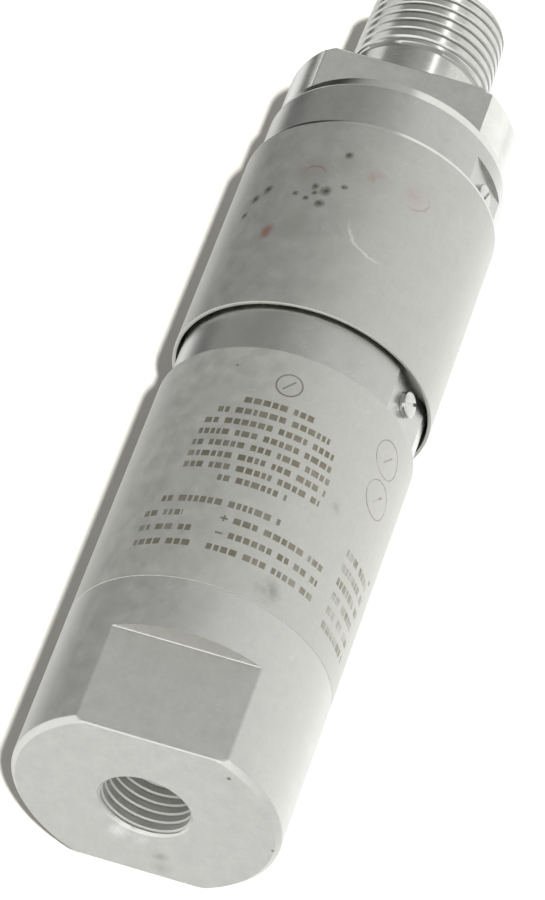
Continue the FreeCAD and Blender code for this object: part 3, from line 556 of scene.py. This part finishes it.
for piece in (fitting, housing, sleeve, cap, screw_pair):
    finish_shading(piece)


def sharpen_flats():
    """Keeps the milled edges crisp on the smooth-shaded neck."""
    polygons = housing.data.polygons
    on_plane = [
        p.normal.dot(flat_out) > 0.9999 and abs(p.center.dot(flat_out) / MM - flat_reach) < 0.01
        for p in polygons
    ]
    sides = {}
    for polygon, flat in zip(polygons, on_plane):
        for key in polygon.edge_keys:
            sides.setdefault(key, []).append(flat)
    for edge in housing.data.edges:
        if len(set(sides[edge.key])) > 1:
            edge.use_edge_sharp = True


sharpen_flats()


# ---- Marks -----------------------------------------------------------------------------------------
MARK_HEIGHT = 0.015
MARK_SUNK = 0.01
BAR_STEP = 2.0                  # most degrees in one straight part of a bar
DASH_LENGTHS = (0.5, 1.15)
DASH_GAP = 0.3
WORD_GAP = 0.95
WORD_DASHES = (2, 6)


class Marks:
    """Thin raised strokes that follow a round surface, placed by bearing and height."""

    def __init__(self, name, radius):
        self.name = name
        self.radius = radius
        self.degrees = 180.0 / (math.pi * radius)   # of bearing to a millimetre
        self.bm = bmesh.new()

    def outline(self, points):
        """Raised plate from a closed list of (bearing, z) corners that turn one way."""
        low = [self.bm.verts.new(bearing_point(self.radius - MARK_SUNK, b, z) * MM) for b, z in points]
        high = [self.bm.verts.new(bearing_point(self.radius + MARK_HEIGHT, b, z) * MM) for b, z in points]
        count = len(points)
        for i in range(count):
            k = (i + 1) % count
            self.bm.faces.new((low[i], low[k], high[k], high[i]))
        self.bm.faces.new(high)
        self.bm.faces.new(reversed(low))

    def bar(self, b_low, b_high, z_low, z_high):
        """Bar along the surface, split so that it follows the curve."""
        parts = max(1, math.ceil((b_high - b_low) / BAR_STEP))
        for i in range(parts):
            start = b_low + (b_high - b_low) * i / parts
            end = b_low + (b_high - b_low) * (i + 1) / parts
            self.outline([(start, z_low), (end, z_low), (end, z_high), (start, z_high)])

    def ring(self, bearing, z, radius, width, parts=48):
        """Circle drawn on the surface."""
        for i in range(parts):
            corners = []
            for turn, reach in ((i, radius), (i, radius + width), (i + 1, radius + width), (i + 1, radius)):
                a = FULL_TURN * turn / parts
                corners.append((bearing + self.degrees * reach * math.cos(a), z + reach * math.sin(a)))
            self.outline(corners)

    def line(self, b_start, z_start, b_end, z_end, width):
        """Straight stroke between two points of the surface."""
        along = Vector(((b_end - b_start) / self.degrees, z_end - z_start))
        across = Vector((-along.y, along.x)).normalized() * (width / 2)
        db, dz = across.x * self.degrees, across.y
        self.outline([
            (b_start - db, z_start - dz), (b_end - db, z_end - dz),
            (b_end + db, z_end + dz), (b_start + db, z_start + dz),
        ])

    def row(self, b_low, b_high, z, height):
        """Line of dashes in groups, which stands for a line of small print without any letters."""
        bearing = b_low
        left = random.randint(*WORD_DASHES)
        while bearing < b_high:
            end = min(bearing + self.degrees * random.uniform(*DASH_LENGTHS), b_high)
            self.bar(bearing, end, z - height / 2, z + height / 2)
            left -= 1
            gap = DASH_GAP if left else WORD_GAP
            if not left:
                left = random.randint(*WORD_DASHES)
            bearing = end + self.degrees * gap

    def piece(self, body):
        piece = piece_of(self.name, self.bm)
        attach(piece, body)
        return piece


def body_marks():
    """What stands on the body in place of its print."""
    marks = Marks("body_marks", BODY_R)
    # Small ring with a slanting bar, where the real one has an approval mark.
    marks.ring(2.8, 60.4, 1.75, 0.22)
    marks.line(0.6, 59.5, 5.0, 61.3, 0.22)
    # Paragraph of small print.
    spans = ((-13, 18), (-23, 27), (-27, 31), (-28, 32), (-29, 33), (-29, 33), (-29, 32), (-12, 18))
    for i, (low, high) in enumerate(spans):
        marks.row(low, high, 56.35 - 2.0 * i, 1.0)
    # Wiring table: a heading, then three lines, two of them with a plus or a minus.
    marks.row(-33, 20, 38.2, 1.05)
    for z, left_end, right_start in ((35.7, -21, 1), (33.15, -15, 1), (30.6, -13, -6)):
        marks.row(-39, left_end, z, 1.0)
        marks.row(right_start, 44, z, 1.0)
    for z in (35.7, 33.15):
        marks.line(-4.6, z, -1.4, z, 0.3)
    marks.line(-3.0, 35.2, -3.0, 36.2, 0.3)
    # Two larger rings with a slanting bar, and a block of short bars round the side.
    for bearing, z in ((58.6, 59.4), (60.8, 52.8)):
        marks.ring(bearing, z, 2.8, 0.16)
        marks.line(bearing - 2.4, z - 1.0, bearing + 2.4, z + 1.0, 0.3)
    for i in range(6):
        marks.row(54, 78, 41.5 - 2.5 * i, 1.2)
    return marks.piece("transmitter")


print_marks = body_marks()


# ---- Materials -------------------------------------------------------------------------------------
RAGGED_SCALE = 1300.0           # noise that makes the edges of spots ragged
RAGGED_REACH = 0.7
ARC_REACH = (0.28, 0.08)        # off a ring's line, where it is gone and where it is full
SPECK_TONE = (0.10, 0.105, 0.075)
SPECK_STRENGTH = 0.85
SCRATCH_TONE = (0.92, 0.92, 0.9)
SCRATCH_STRENGTH = 0.16
# Turns and shifts of the layers of fine scratches.
SCRATCHES = (((0.0, 38.0, 10.0), 0.013), ((25.0, -52.0, 0.0), 0.037), ((-70.0, 15.0, 40.0), 0.071))


class Nodes:
    """Short calls for building the node tree of one material, or of the world."""

    def __init__(self, owner):
        self.owner = owner
        self.owner.use_nodes = True
        self.tree = self.owner.node_tree
        self.tree.nodes.clear()
        self.coordinates = self.add("ShaderNodeTexCoord").outputs
        self.place = self.coordinates["Object"]

    def add(self, kind, **settings):
        node = self.tree.nodes.new(kind)
        for key, value in settings.items():
            setattr(node, key, value)
        return node

    def link(self, source, target):
        self.tree.links.new(source, target)

    def feed(self, socket, value):
        """Gives a socket a number, a colour or a link."""
        if isinstance(value, (int, float)):
            socket.default_value = value
        elif isinstance(value, tuple):
            socket.default_value = (*value, 1.0)
        else:
            self.link(value, socket)

    def stretched(self, across, along, turn=(0.0, 0.0, 0.0), shift=0.0):
        """Object position, turned, then scaled differently across the axis and along it."""
        turned = self.add("ShaderNodeMapping")
        turned.inputs["Rotation"].default_value = [math.radians(angle) for angle in turn]
        turned.inputs["Location"].default_value = (shift, shift, shift)
        self.link(self.place, turned.inputs["Vector"])
        mapping = self.add("ShaderNodeMapping")
        mapping.inputs["Scale"].default_value = (across, across, along)
        self.link(turned.outputs["Vector"], mapping.inputs["Vector"])
        return mapping.outputs["Vector"]

    def noise(self, scale, detail=3.0, roughness=0.5, vector=None):
        node = self.add("ShaderNodeTexNoise")
        node.inputs["Scale"].default_value = scale
        node.inputs["Detail"].default_value = detail
        node.inputs["Roughness"].default_value = roughness
        self.link(vector or self.place, node.inputs["Vector"])
        return node.outputs["Fac"]

    def remap(self, value, from_low, from_high, to_low=0.0, to_high=1.0):
        node = self.add("ShaderNodeMapRange")
        for name, number in (
            ("From Min", from_low), ("From Max", from_high), ("To Min", to_low), ("To Max", to_high),
        ):
            node.inputs[name].default_value = number
        self.link(value, node.inputs["Value"])
        return node.outputs["Result"]

    def math(self, operation, first, second=None):
        node = self.add("ShaderNodeMath", operation=operation)
        self.feed(node.inputs[0], first)
        if second is not None:
            self.feed(node.inputs[1], second)
        return node.outputs["Value"]

    def mix(self, factor, first, second):
        node = self.add("ShaderNodeMix", data_type="RGBA")
        for socket, value in (("Factor", factor), ("A", first), ("B", second)):
            self.feed(node.inputs[socket], value)
        return node.outputs["Result"]

    def away(self, bearing, z, radius):
        """Ragged distance from a point of the surface."""
        noise = self.add("ShaderNodeTexNoise")
        noise.inputs["Scale"].default_value = RAGGED_SCALE
        self.link(self.place, noise.inputs["Vector"])
        shift = self.add("ShaderNodeVectorMath", operation="MULTIPLY_ADD")
        self.link(noise.outputs["Color"], shift.inputs[0])
        shift.inputs[1].default_value = (RAGGED_REACH * MM,) * 3
        self.link(self.place, shift.inputs[2])
        point = self.add("ShaderNodeVectorMath", operation="DISTANCE")
        self.link(shift.outputs["Vector"], point.inputs[0])
        middle = Vector((RAGGED_REACH / 2,) * 3)
        point.inputs[1].default_value = (bearing_point(radius, bearing, z) + middle) * MM
        return point.outputs["Value"]

    def near(self, bearing, z, radius, reach, edge=0.5):
        """1 inside a spot on the surface, falling to 0 at its reach."""
        return self.remap(self.away(bearing, z, radius), reach * MM, reach * edge * MM)

    def arc(self, bearing, z, radius, reach):
        """1 along a thin ring round a point of the surface."""
        off = self.math("ABSOLUTE", self.math("SUBTRACT", self.away(bearing, z, radius), reach * MM))
        return self.remap(off, ARC_REACH[0] * MM, ARC_REACH[1] * MM)

    def bump(self, height, strength, distance):
        node = self.add("ShaderNodeBump")
        node.inputs["Strength"].default_value = strength
        node.inputs["Distance"].default_value = distance * MM
        self.link(height, node.inputs["Height"])
        return node.outputs["Normal"]

    def surface(self, colour, roughness, metallic, normal):
        """Finishes the tree with one surface and returns the material."""
        shader = self.add("ShaderNodeBsdfPrincipled")
        for socket, value in (("Base Color", colour), ("Roughness", roughness), ("Metallic", metallic)):
            self.feed(shader.inputs[socket], value)
        self.link(normal, shader.inputs["Normal"])
        output = self.add("ShaderNodeOutputMaterial")
        self.link(shader.outputs["BSDF"], output.inputs["Surface"])
        return self.owner


def steel(name, colour, roughness, grain, turned, blotch=0.12, spots=(), stains=(), arcs=()):
    """Stainless steel: fine grain, turning marks, mottling, specks, stains and fine scratches."""
    nodes = Nodes(bpy.data.materials.new(name))
    cloud = nodes.noise(380.0, 5.0, 0.6)
    fine = nodes.noise(2600.0, 2.0, 0.6)
    rings = nodes.noise(1.0, 2.0, 0.6, nodes.stretched(60.0, 5200.0))
    dark = tuple(c * (1.0 - blotch) for c in colour)
    light = tuple(min(c * (1.0 + blotch * 0.6), 1.0) for c in colour)
    speckle = nodes.remap(nodes.noise(1500.0, 3.0, 0.6), 0.3, 0.7, -0.22, 0.22)
    tone = nodes.mix(nodes.math("ADD", nodes.remap(cloud, 0.32, 0.68), speckle), dark, light)
    for bearing, z, radius, reach, tint, strength in stains:
        patch = nodes.remap(cloud, 0.35, 0.6)
        spot = nodes.math("MULTIPLY", nodes.near(bearing, z, radius, reach, 0.2), patch)
        tone = nodes.mix(nodes.math("MULTIPLY", spot, strength), tone, tint)
    for bearing, z, radius, reach in spots:
        spot = nodes.near(bearing, z, radius, reach, 0.15)
        tone = nodes.mix(nodes.math("MULTIPLY", spot, SPECK_STRENGTH), tone, SPECK_TONE)
    for ring, gate, tint, strength in arcs:
        stretch = nodes.math("MULTIPLY", nodes.arc(*ring), nodes.near(*gate))
        tone = nodes.mix(nodes.math("MULTIPLY", stretch, strength), tone, tint)
    for turn, place in SCRATCHES:
        streak = nodes.noise(1.0, 1.0, 0.4, nodes.stretched(420.0, 5200.0, turn, place))
        patch = nodes.remap(nodes.noise(240.0, 2.0, 0.5, nodes.stretched(1.0, 1.0, turn, place)), 0.5, 0.62)
        mark = nodes.math("MULTIPLY", nodes.remap(streak, 0.665, 0.72), patch)
        tone = nodes.mix(nodes.math("MULTIPLY", mark, SCRATCH_STRENGTH), tone, SCRATCH_TONE)
    rough = nodes.remap(cloud, 0.3, 0.7, roughness * 0.88, roughness * 1.15)
    height = nodes.math("ADD", nodes.math("MULTIPLY", fine, grain), nodes.math("MULTIPLY", rings, turned))
    return nodes.surface(tone, rough, 1.0, nodes.bump(height, 0.5, 0.03))


def plain(name, colour, roughness, metallic, scale, grain, vary=0.12):
    """Moulded, painted or plated finish with a faint change of tone and a fine grain."""
    nodes = Nodes(bpy.data.materials.new(name))
    cloud = nodes.noise(scale, 4.0)
    fine = nodes.noise(scale * 5, 2.0)
    dark = tuple(c * (1.0 - vary) for c in colour)
    tone = nodes.mix(nodes.remap(cloud, 0.3, 0.7), dark, colour)
    rough = nodes.remap(cloud, 0.3, 0.7, roughness * 0.85, min(roughness * 1.15, 1.0))
    return nodes.surface(tone, rough, metallic, nodes.bump(fine, grain, 0.02))


def worn_ink():
    """Dark etched print, rubbed away in patches and fainter towards the sides."""
    nodes = Nodes(bpy.data.materials.new("mark_ink"))
    patches = nodes.remap(nodes.noise(330.0, 4.0, 0.6), 0.36, 0.62)
    split = nodes.add("ShaderNodeSeparateXYZ")
    nodes.link(nodes.place, split.inputs["Vector"])
    # The print fades from a little right of the front towards both sides.
    sideways = nodes.math("ABSOLUTE", nodes.math("SUBTRACT", split.outputs["X"], 1.2 * MM))
    side_fade = nodes.remap(sideways, 8.0 * MM, 14.0 * MM, 0.25, 0.75)
    worn = nodes.math("MULTIPLY", nodes.math("ADD", patches, 0.3), side_fade)
    tone = nodes.mix(worn, (0.25, 0.232, 0.165), (0.60, 0.59, 0.54))
    return nodes.surface(tone, 0.55, 1.0, nodes.bump(nodes.noise(2600.0, 2.0, 0.6), 0.3, 0.02))


RUST = (0.42, 0.20, 0.14)
PINK = (0.52, 0.38, 0.33)
# Bearing, height and reach of each dark speck on the sleeve.
SPECKS = (
    (-8.5, 103.2, 0.8), (-17.9, 96.6, 0.8), (-12.6, 95.9, 1.1), (-13.4, 93.4, 0.95), (-5.4, 97.2, 0.6),
    (-47.3, 95.7, 1.0), (-41.2, 96.9, 1.0), (-51.0, 93.0, 0.8), (-26.0, 95.3, 0.6), (-20.2, 94.3, 0.6),
    (-17.0, 95.4, 0.6),
)
# The same for its stains, then their tint and strength.
SLEEVE_STAINS = (
    (-33.0, 88.4, 1.5, RUST, 0.8),
    (-33.5, 87.2, 1.2, RUST, 0.6),
    (-22.0, 99.6, 3.4, (0.40, 0.34, 0.29), 0.5),
    (6.0, 100.3, 2.2, PINK, 0.6),
    (24.0, 100.6, 2.6, PINK, 0.35),
    (-20.0, 89.0, 3.0, (0.42, 0.46, 0.33), 0.5),
    (-8.0, 101.6, 2.6, (0.42, 0.45, 0.34), 0.4),
)
BRIGHT = (0.95, 0.95, 0.93)
DULL = (0.36, 0.36, 0.33)
# A ring, the spot that shows a part of it, and the tint and strength of that part.
sleeve_arcs = (
    ((19.0, 92.0, sleeve_outer_r, 5.8), (7.5, 87.0, sleeve_outer_r, 5.2), BRIGHT, 0.5),
    ((-21.0, 98.6, sleeve_outer_r, 2.0), (-20.0, 100.6, sleeve_outer_r, 2.2), RUST, 0.4),
    ((24.5, 100.4, sleeve_outer_r, 2.4), (28.0, 99.4, sleeve_outer_r, 2.6), RUST, 0.3),
)

body_steel = steel(
    "body_steel", (0.68, 0.68, 0.64), 0.6, 0.5, 0.2, 0.07,
    spots=((-22.0, 62.5, BODY_R, 0.28), (80.0, 43.0, BODY_R, 0.5)),
    stains=((24.0, 27.3, BODY_R, 2.6, (0.30, 0.30, 0.27), 0.6), (39.0, 46.0, BODY_R, 1.6, DULL, 0.5)),
)
neck_steel = steel("neck_steel", (0.55, 0.55, 0.525), 0.3, 0.12, 0.3, 0.05)
sleeve_steel = steel(
    "sleeve_steel", (0.60, 0.60, 0.565), 0.48, 0.4, 0.2, 0.07,
    spots=[(bearing, z, sleeve_outer_r, reach) for bearing, z, reach in SPECKS],
    stains=[(bearing, z, sleeve_outer_r, *look) for bearing, z, *look in SLEEVE_STAINS],
    arcs=sleeve_arcs,
)
fitting_steel = steel(
    "fitting_steel", (0.68, 0.68, 0.65), 0.5, 0.35, 0.3, 0.06,
    spots=((41.0, face_z, 16.75, 0.4), (94.7, face_z, 18.2, 0.4)),
    stains=(
        (165.4, face_z, 11.3, 1.5, DULL, 0.7),
        (167.0, face_z, 14.0, 1.9, (0.44, 0.44, 0.41), 0.6),
        (-157.0, face_z, 8.2, 2.0, (0.95, 0.95, 0.92), 0.8),
        (-178.0, face_z, 8.0, 1.6, (0.95, 0.95, 0.92), 0.6),
    ),
)
conduit_steel = steel("conduit_steel", (0.50, 0.50, 0.475), 0.2, 0.15, 0.3, 0.06)
bore_steel = steel("bore_steel", (0.68, 0.68, 0.655), 0.6, 0.15, 0.3, 0.06)
cap_steel = steel("cap_steel", (0.64, 0.64, 0.61), 0.2, 0.15, 0.4, 0.06)
screw_steel = steel("screw_steel", (0.62, 0.62, 0.60), 0.26, 0.2, 0.1, 0.08)
mark_ink = worn_ink()

# The nodes that show as the CAD has them.
NODE_FINISHES = {
    "isolation_diaphragm": steel("foil_steel", (0.68, 0.68, 0.66), 0.2, 0.1, 0.2),
    "sensor_header": steel("header_steel", (0.62, 0.62, 0.6), 0.26, 0.15, 0.4),
    "retaining_ring": steel("ring_steel", (0.6, 0.6, 0.58), 0.3, 0.2, 0.5),
    "fill_ball": steel("ball_steel", (0.66, 0.66, 0.65), 0.12, 0.05, 0.0),
    "header_seal": plain("header_rubber", (0.018, 0.018, 0.02), 0.55, 0.0, 2200.0, 0.3),
    "cap_seal": plain("cap_rubber", (0.018, 0.018, 0.02), 0.55, 0.0, 2200.0, 0.3),
    "lower_sleeve_seal": plain("lower_rubber", (0.02, 0.02, 0.022), 0.5, 0.0, 2200.0, 0.3),
    "upper_sleeve_seal": plain("upper_rubber", (0.02, 0.02, 0.022), 0.5, 0.0, 2200.0, 0.3),
    "die_pedestal": plain("pedestal_glass", (0.55, 0.62, 0.60), 0.12, 0.0, 700.0, 0.02, 0.05),
    "sensor_die": plain("die_silicon", (0.10, 0.11, 0.15), 0.1, 0.4, 3000.0, 0.02, 0.4),
    "header_pins": plain("header_gilt", (0.85, 0.62, 0.27), 0.22, 1.0, 2000.0, 0.05),
    "link_pins": plain("link_gilt", (0.85, 0.62, 0.27), 0.25, 1.0, 2000.0, 0.05),
    "lead_terminals": plain("terminal_gilt", (0.83, 0.61, 0.28), 0.28, 1.0, 2000.0, 0.05),
    "pin_glass": plain("bead_glass", (0.08, 0.22, 0.20), 0.08, 0.0, 900.0, 0.02, 0.2),
    "board_screws": steel("board_screw_steel", (0.6, 0.6, 0.58), 0.28, 0.2, 0.1),
    "board_pillars": plain("pillar_brass", (0.76, 0.66, 0.45), 0.3, 1.0, 1500.0, 0.1),
    "ground_screw": steel("ground_screw_steel", (0.6, 0.6, 0.58), 0.28, 0.2, 0.1),
    "ground_lug": plain("lug_tin", (0.62, 0.62, 0.6), 0.32, 1.0, 1500.0, 0.1),
    "compensation_board": plain("round_laminate", (0.03, 0.16, 0.07), 0.38, 0.0, 1600.0, 0.12, 0.25),
    "amplifier_board": plain("long_laminate", (0.03, 0.16, 0.07), 0.38, 0.0, 1600.0, 0.12, 0.25),
    "link_block": plain("link_plastic", (0.02, 0.02, 0.02), 0.5, 0.0, 1800.0, 0.15),
    "amplifier_chips": plain("chip_plastic", (0.025, 0.025, 0.027), 0.55, 0.0, 2600.0, 0.3),
    "board_carrier": plain("carrier_nylon", (0.68, 0.66, 0.58), 0.5, 0.0, 500.0, 0.12, 0.06),
    "zero_trimmer": plain("zero_trimmer_blue", (0.03, 0.12, 0.38), 0.4, 0.0, 900.0, 0.1),
    "span_trimmer": plain("span_trimmer_blue", (0.03, 0.12, 0.38), 0.4, 0.0, 900.0, 0.1),
    "zero_adjuster": plain("zero_brass", (0.78, 0.60, 0.30), 0.3, 1.0, 2400.0, 0.2),
    "span_adjuster": plain("span_brass", (0.78, 0.60, 0.30), 0.3, 1.0, 2400.0, 0.2),
    "filter_capacitors": plain("can_sleeve", (0.05, 0.06, 0.16), 0.35, 0.0, 900.0, 0.05),
    "axial_resistors": plain("resistor_coat", (0.52, 0.40, 0.24), 0.45, 0.0, 1300.0, 0.1),
    "pass_transistor": plain("can_nickel", (0.58, 0.57, 0.54), 0.25, 1.0, 1500.0, 0.08),
    "lead_grommet": plain("grommet_rubber", (0.03, 0.03, 0.032), 0.6, 0.0, 1500.0, 0.25),
    "potting_plug": plain("potting_resin", (0.045, 0.042, 0.04), 0.35, 0.0, 600.0, 0.2, 0.3),
}
for node, material in NODE_FINISHES.items():
    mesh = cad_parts[node].data
    mesh.materials.clear()
    mesh.materials.append(material)


def dress(piece, material, slot, body, *nodes):
    piece.data.materials.append(material)
    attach(piece, body)
    if nodes:
        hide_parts(*nodes)


dress(fitting, fitting_steel, "fitting_steel", "transmitter", "process_fitting")
dress(housing, body_steel, "housing_steel", "transmitter", "housing")
dress(sleeve, sleeve_steel, "sleeve_steel", "cover", "cover_sleeve")
dress(cap, cap_steel, "cap_steel", "transmitter", "end_cap")
dress(screw_pair, screw_steel, "screw_steel", "transmitter", "carrier_screws")
print_marks.data.materials.append(mark_ink)


def finish_part(piece, material, chosen):
    """Another finish on the faces whose middle is chosen by its reach and height."""
    piece.data.materials.append(material)
    place = len(piece.data.materials) - 1
    for polygon in piece.data.polygons:
        if chosen(polygon.center.to_2d().length / MM, polygon.center.z / MM):
            polygon.material_index = place


# The neck is polished where the body under it is blasted, and the threads and the sleeve's edge are bright.
finish_part(housing, neck_steel, lambda reach, z: z > SHOULDER_Z + 0.05)
finish_part(cap, conduit_steel, lambda reach, z: z > CAP_TOP_Z + 0.3)
finish_part(fitting, bore_steel, lambda reach, z: z > face_z + 0.4 and reach < PORT_RIM_R)
finish_part(fitting, cap_steel, lambda reach, z: abs(z - WRENCH_FLAT_LENGTH) < 0.12 and reach < BODY_R - 0.15)
finish_part(sleeve, cap_steel, lambda reach, z: z > sleeve_top_z - 0.68)

# ---- Floor, backdrop, world and lamps --------------------------------------------------------------
FLOOR_GAP = 0.3                 # under the port face
FLOOR_HALF = 2500.0
FLOOR_COLOUR = (0.92, 0.92, 0.92)
BACKDROP_GAP = 0.35             # behind the sleeve
BACKDROP_HALF = 400.0
BACKDROP_TOP = 600.0
BACKDROP_COLOUR = (0.40, 0.39, 0.36)
CONDUIT_LAMP_ELEVATION = 38.0
CONDUIT_LAMP_DISTANCE = 600.0
CONDUIT_LAMP_AIM_Z = 141.0


def seen_from_front(name, colour):
    """Diffuse on the side that faces out, for what the camera sees. All else passes through."""
    nodes = Nodes(bpy.data.materials.new(name))
    path = nodes.add("ShaderNodeLightPath")
    side = nodes.add("ShaderNodeNewGeometry")
    facing = nodes.math("SUBTRACT", 1.0, side.outputs["Backfacing"])
    seen = nodes.math("MULTIPLY", path.outputs["Is Camera Ray"], facing)
    cloud = nodes.noise(8.0, 2.0)
    paint = nodes.add("ShaderNodeBsdfDiffuse")
    nodes.link(nodes.mix(cloud, colour, tuple(c * 0.985 for c in colour)), paint.inputs["Color"])
    mixed = nodes.add("ShaderNodeMixShader")
    nodes.link(seen, mixed.inputs["Fac"])
    nodes.link(nodes.add("ShaderNodeBsdfTransparent").outputs["BSDF"], mixed.inputs[1])
    nodes.link(paint.outputs["BSDF"], mixed.inputs[2])
    nodes.link(mixed.outputs["Shader"], nodes.add("ShaderNodeOutputMaterial").inputs["Surface"])
    return nodes.owner


def stage_plane(name, corners, material):
    mesh = bpy.data.meshes.new(name)
    mesh.from_pydata([Vector(corner) * MM for corner in corners], [], [(0, 1, 2, 3)])
    mesh.materials.append(material)
    plane = linked(name, mesh)
    return plane


floor_z = face_z - FLOOR_GAP
stage_plane("studio_floor", [
    (-FLOOR_HALF, -FLOOR_HALF, floor_z), (FLOOR_HALF, -FLOOR_HALF, floor_z),
    (FLOOR_HALF, FLOOR_HALF, floor_z), (-FLOOR_HALF, FLOOR_HALF, floor_z),
], seen_from_front("floor_paint", FLOOR_COLOUR))
wall_y = sleeve_outer_r + BACKDROP_GAP
backdrop = stage_plane("studio_backdrop", [
    (-BACKDROP_HALF, wall_y, -BACKDROP_HALF), (BACKDROP_HALF, wall_y, -BACKDROP_HALF),
    (BACKDROP_HALF, wall_y, BACKDROP_TOP), (-BACKDROP_HALF, wall_y, BACKDROP_TOP),
], seen_from_front("backdrop_paint", BACKDROP_COLOUR))


def direction(azimuth, elevation):
    """Unit vector to a point of the sky. Azimuth is a bearing from the front."""
    level = math.cos(math.radians(elevation))
    return Vector((
        level * math.sin(math.radians(azimuth)),
        -level * math.cos(math.radians(azimuth)),
        math.sin(math.radians(elevation)),
    ))


def lamp(name, kind, power, azimuth, elevation, receiver):
    """Lamp that shines in from a point of the sky on one piece alone."""
    light = bpy.data.lights.new(name, kind)
    light.energy = power
    holder = linked(name, light)
    holder.rotation_euler = direction(azimuth, elevation).to_track_quat("Z", "Y").to_euler()
    group = bpy.data.collections.new(name + "_receivers")
    group.objects.link(receiver)
    holder.light_linking.receiver_collection = group
    return holder


def conduit_lamp(name, azimuth, width, height, watts):
    """Upright soft strip that faces the conduit thread and isn't seen itself."""
    holder = lamp(name, "AREA", watts, azimuth, CONDUIT_LAMP_ELEVATION, cap)
    holder.data.shape = "RECTANGLE"
    holder.data.size, holder.data.size_y = width * MM, height * MM
    toward = direction(azimuth, CONDUIT_LAMP_ELEVATION)
    holder.location = (UP * CONDUIT_LAMP_AIM_Z + toward * CONDUIT_LAMP_DISTANCE) * MM
    holder.visible_camera = False


# Radiance of the room by bearing from the front, from the left of the back round to the right of it.
WALLS = (
    (-180, 1.10), (-162, 0.62), (-152, 0.72), (-138, 1.35), (-126, 1.20), (-120, 0.20), (-98, 0.20),
    (-90, 0.48), (-62, 0.35), (-38, 0.27), (-20, 0.40), (-4, 0.58), (15, 0.64), (45, 0.70), (62, 0.84),
    (100, 0.98), (125, 1.22), (148, 1.60), (165, 1.60), (180, 1.10),
)
CEILING = (
    (-180, 1.00), (-150, 0.90), (-141, 0.04), (-92, 0.04), (-72, 0.45), (-40, 0.55), (5, 0.60), (18, 1.20),
    (60, 1.20), (180, 1.20),
)
SKIRTING = (
    (-180, 0.82), (-150, 0.82), (-130, 1.30), (-80, 1.30), (-55, 0.70), (-35, 0.52), (25, 0.52),
    (60, 0.82), (180, 0.82),
)
GROUND = ((-180, 0.82), (-95, 0.82), (-55, 1.80), (65, 1.80), (105, 0.84), (180, 0.82))
ROOM_PEAK = 1.8
# Heights of a ray, as the sine of its elevation, over which one band blends into the next.
GROUND_TO_SKIRTING = (-0.70, -0.61)
SKIRTING_TO_WALLS = (-0.1, 0.02)
WALLS_TO_CEILING = (0.63, 0.74)


def room_light():
    """World: pure white to the camera, and a room of dark and bright walls to everything else."""
    world = bpy.data.worlds.new("studio_room")
    nodes = Nodes(world)
    split = nodes.add("ShaderNodeSeparateXYZ")
    nodes.link(nodes.coordinates["Generated"], split.inputs["Vector"])
    back = nodes.math("MULTIPLY", split.outputs["Y"], -1.0)
    bearing = nodes.math("ARCTAN2", split.outputs["X"], back)
    share = nodes.remap(bearing, -math.pi, math.pi)

    def by_bearing(levels):
        ramp = nodes.add("ShaderNodeValToRGB")
        stops = ramp.color_ramp.elements
        while len(stops) < len(levels):
            stops.new(0.5)
        for stop, (azimuth, level) in zip(stops, levels):
            stop.position = (azimuth + 180.0) / 360.0
            stop.color = (level / ROOM_PEAK,) * 3 + (1.0,)
        nodes.link(share, ramp.inputs["Fac"])
        return ramp.outputs["Color"]

    def by_height(blend, below, above):
        return nodes.mix(nodes.remap(split.outputs["Z"], *blend), below, above)

    lower = by_height(GROUND_TO_SKIRTING, by_bearing(GROUND), by_bearing(SKIRTING))
    upper = by_height(WALLS_TO_CEILING, by_bearing(WALLS), by_bearing(CEILING))
    room = nodes.add("ShaderNodeBackground")
    room.inputs["Strength"].default_value = ROOM_PEAK
    nodes.link(by_height(SKIRTING_TO_WALLS, lower, upper), room.inputs["Color"])
    white = nodes.add("ShaderNodeBackground")
    white.inputs["Color"].default_value = (1.0, 1.0, 1.0, 1.0)
    mixed = nodes.add("ShaderNodeMixShader")
    nodes.link(nodes.add("ShaderNodeLightPath").outputs["Is Camera Ray"], mixed.inputs["Fac"])
    nodes.link(room.outputs["Background"], mixed.inputs[1])
    nodes.link(white.outputs["Background"], mixed.inputs[2])
    nodes.link(mixed.outputs["Shader"], nodes.add("ShaderNodeOutputWorld").inputs["Surface"])
    bpy.context.scene.world = world


room_light()
backdrop_sun = lamp("backdrop_sun", "SUN", 9.0, 14.5, -30.0, backdrop)
backdrop_sun.data.angle = math.radians(2.0)
conduit_lamp("conduit_strip", 22.0, 46.0, 420.0, 0.17)
conduit_lamp("conduit_left", -88.0, 300.0, 260.0, 0.2)
conduit_lamp("conduit_right", 84.0, 640.0, 260.0, 0.18)

# ---- Camera ----------------------------------------------------------------------------------------
CAMERA_TARGET = Vector((-0.9, -0.1, 63.0))
CAMERA_DISTANCE = 681.0
CAMERA_AZIMUTH = 8.35
CAMERA_ELEVATION = -36.29
CAMERA_ROLL = 20.76
CAMERA_LENS = 192.5


def place_camera():
    """Looks up at the object from the front, rolled so that the object leans to the right."""
    lens = bpy.data.cameras.new("photo_camera")
    lens.lens = CAMERA_LENS
    lens.sensor_width = 36.0
    lens.clip_start = 0.01
    lens.clip_end = 50.0
    camera = linked("photo_camera", lens)
    toward = direction(CAMERA_AZIMUTH, CAMERA_ELEVATION)
    camera.location = (CAMERA_TARGET + toward * CAMERA_DISTANCE) * MM
    level_right = UP.cross(toward).normalized()
    level_up = toward.cross(level_right)
    roll = math.radians(CAMERA_ROLL)
    right = level_right * math.cos(roll) + level_up * math.sin(roll)
    up = level_up * math.cos(roll) - level_right * math.sin(roll)
    camera.rotation_euler = Matrix((right, up, toward)).transposed().to_euler()
    bpy.context.scene.camera = camera


place_camera()
bpy.context.scene.view_settings.view_transform = "Standard"
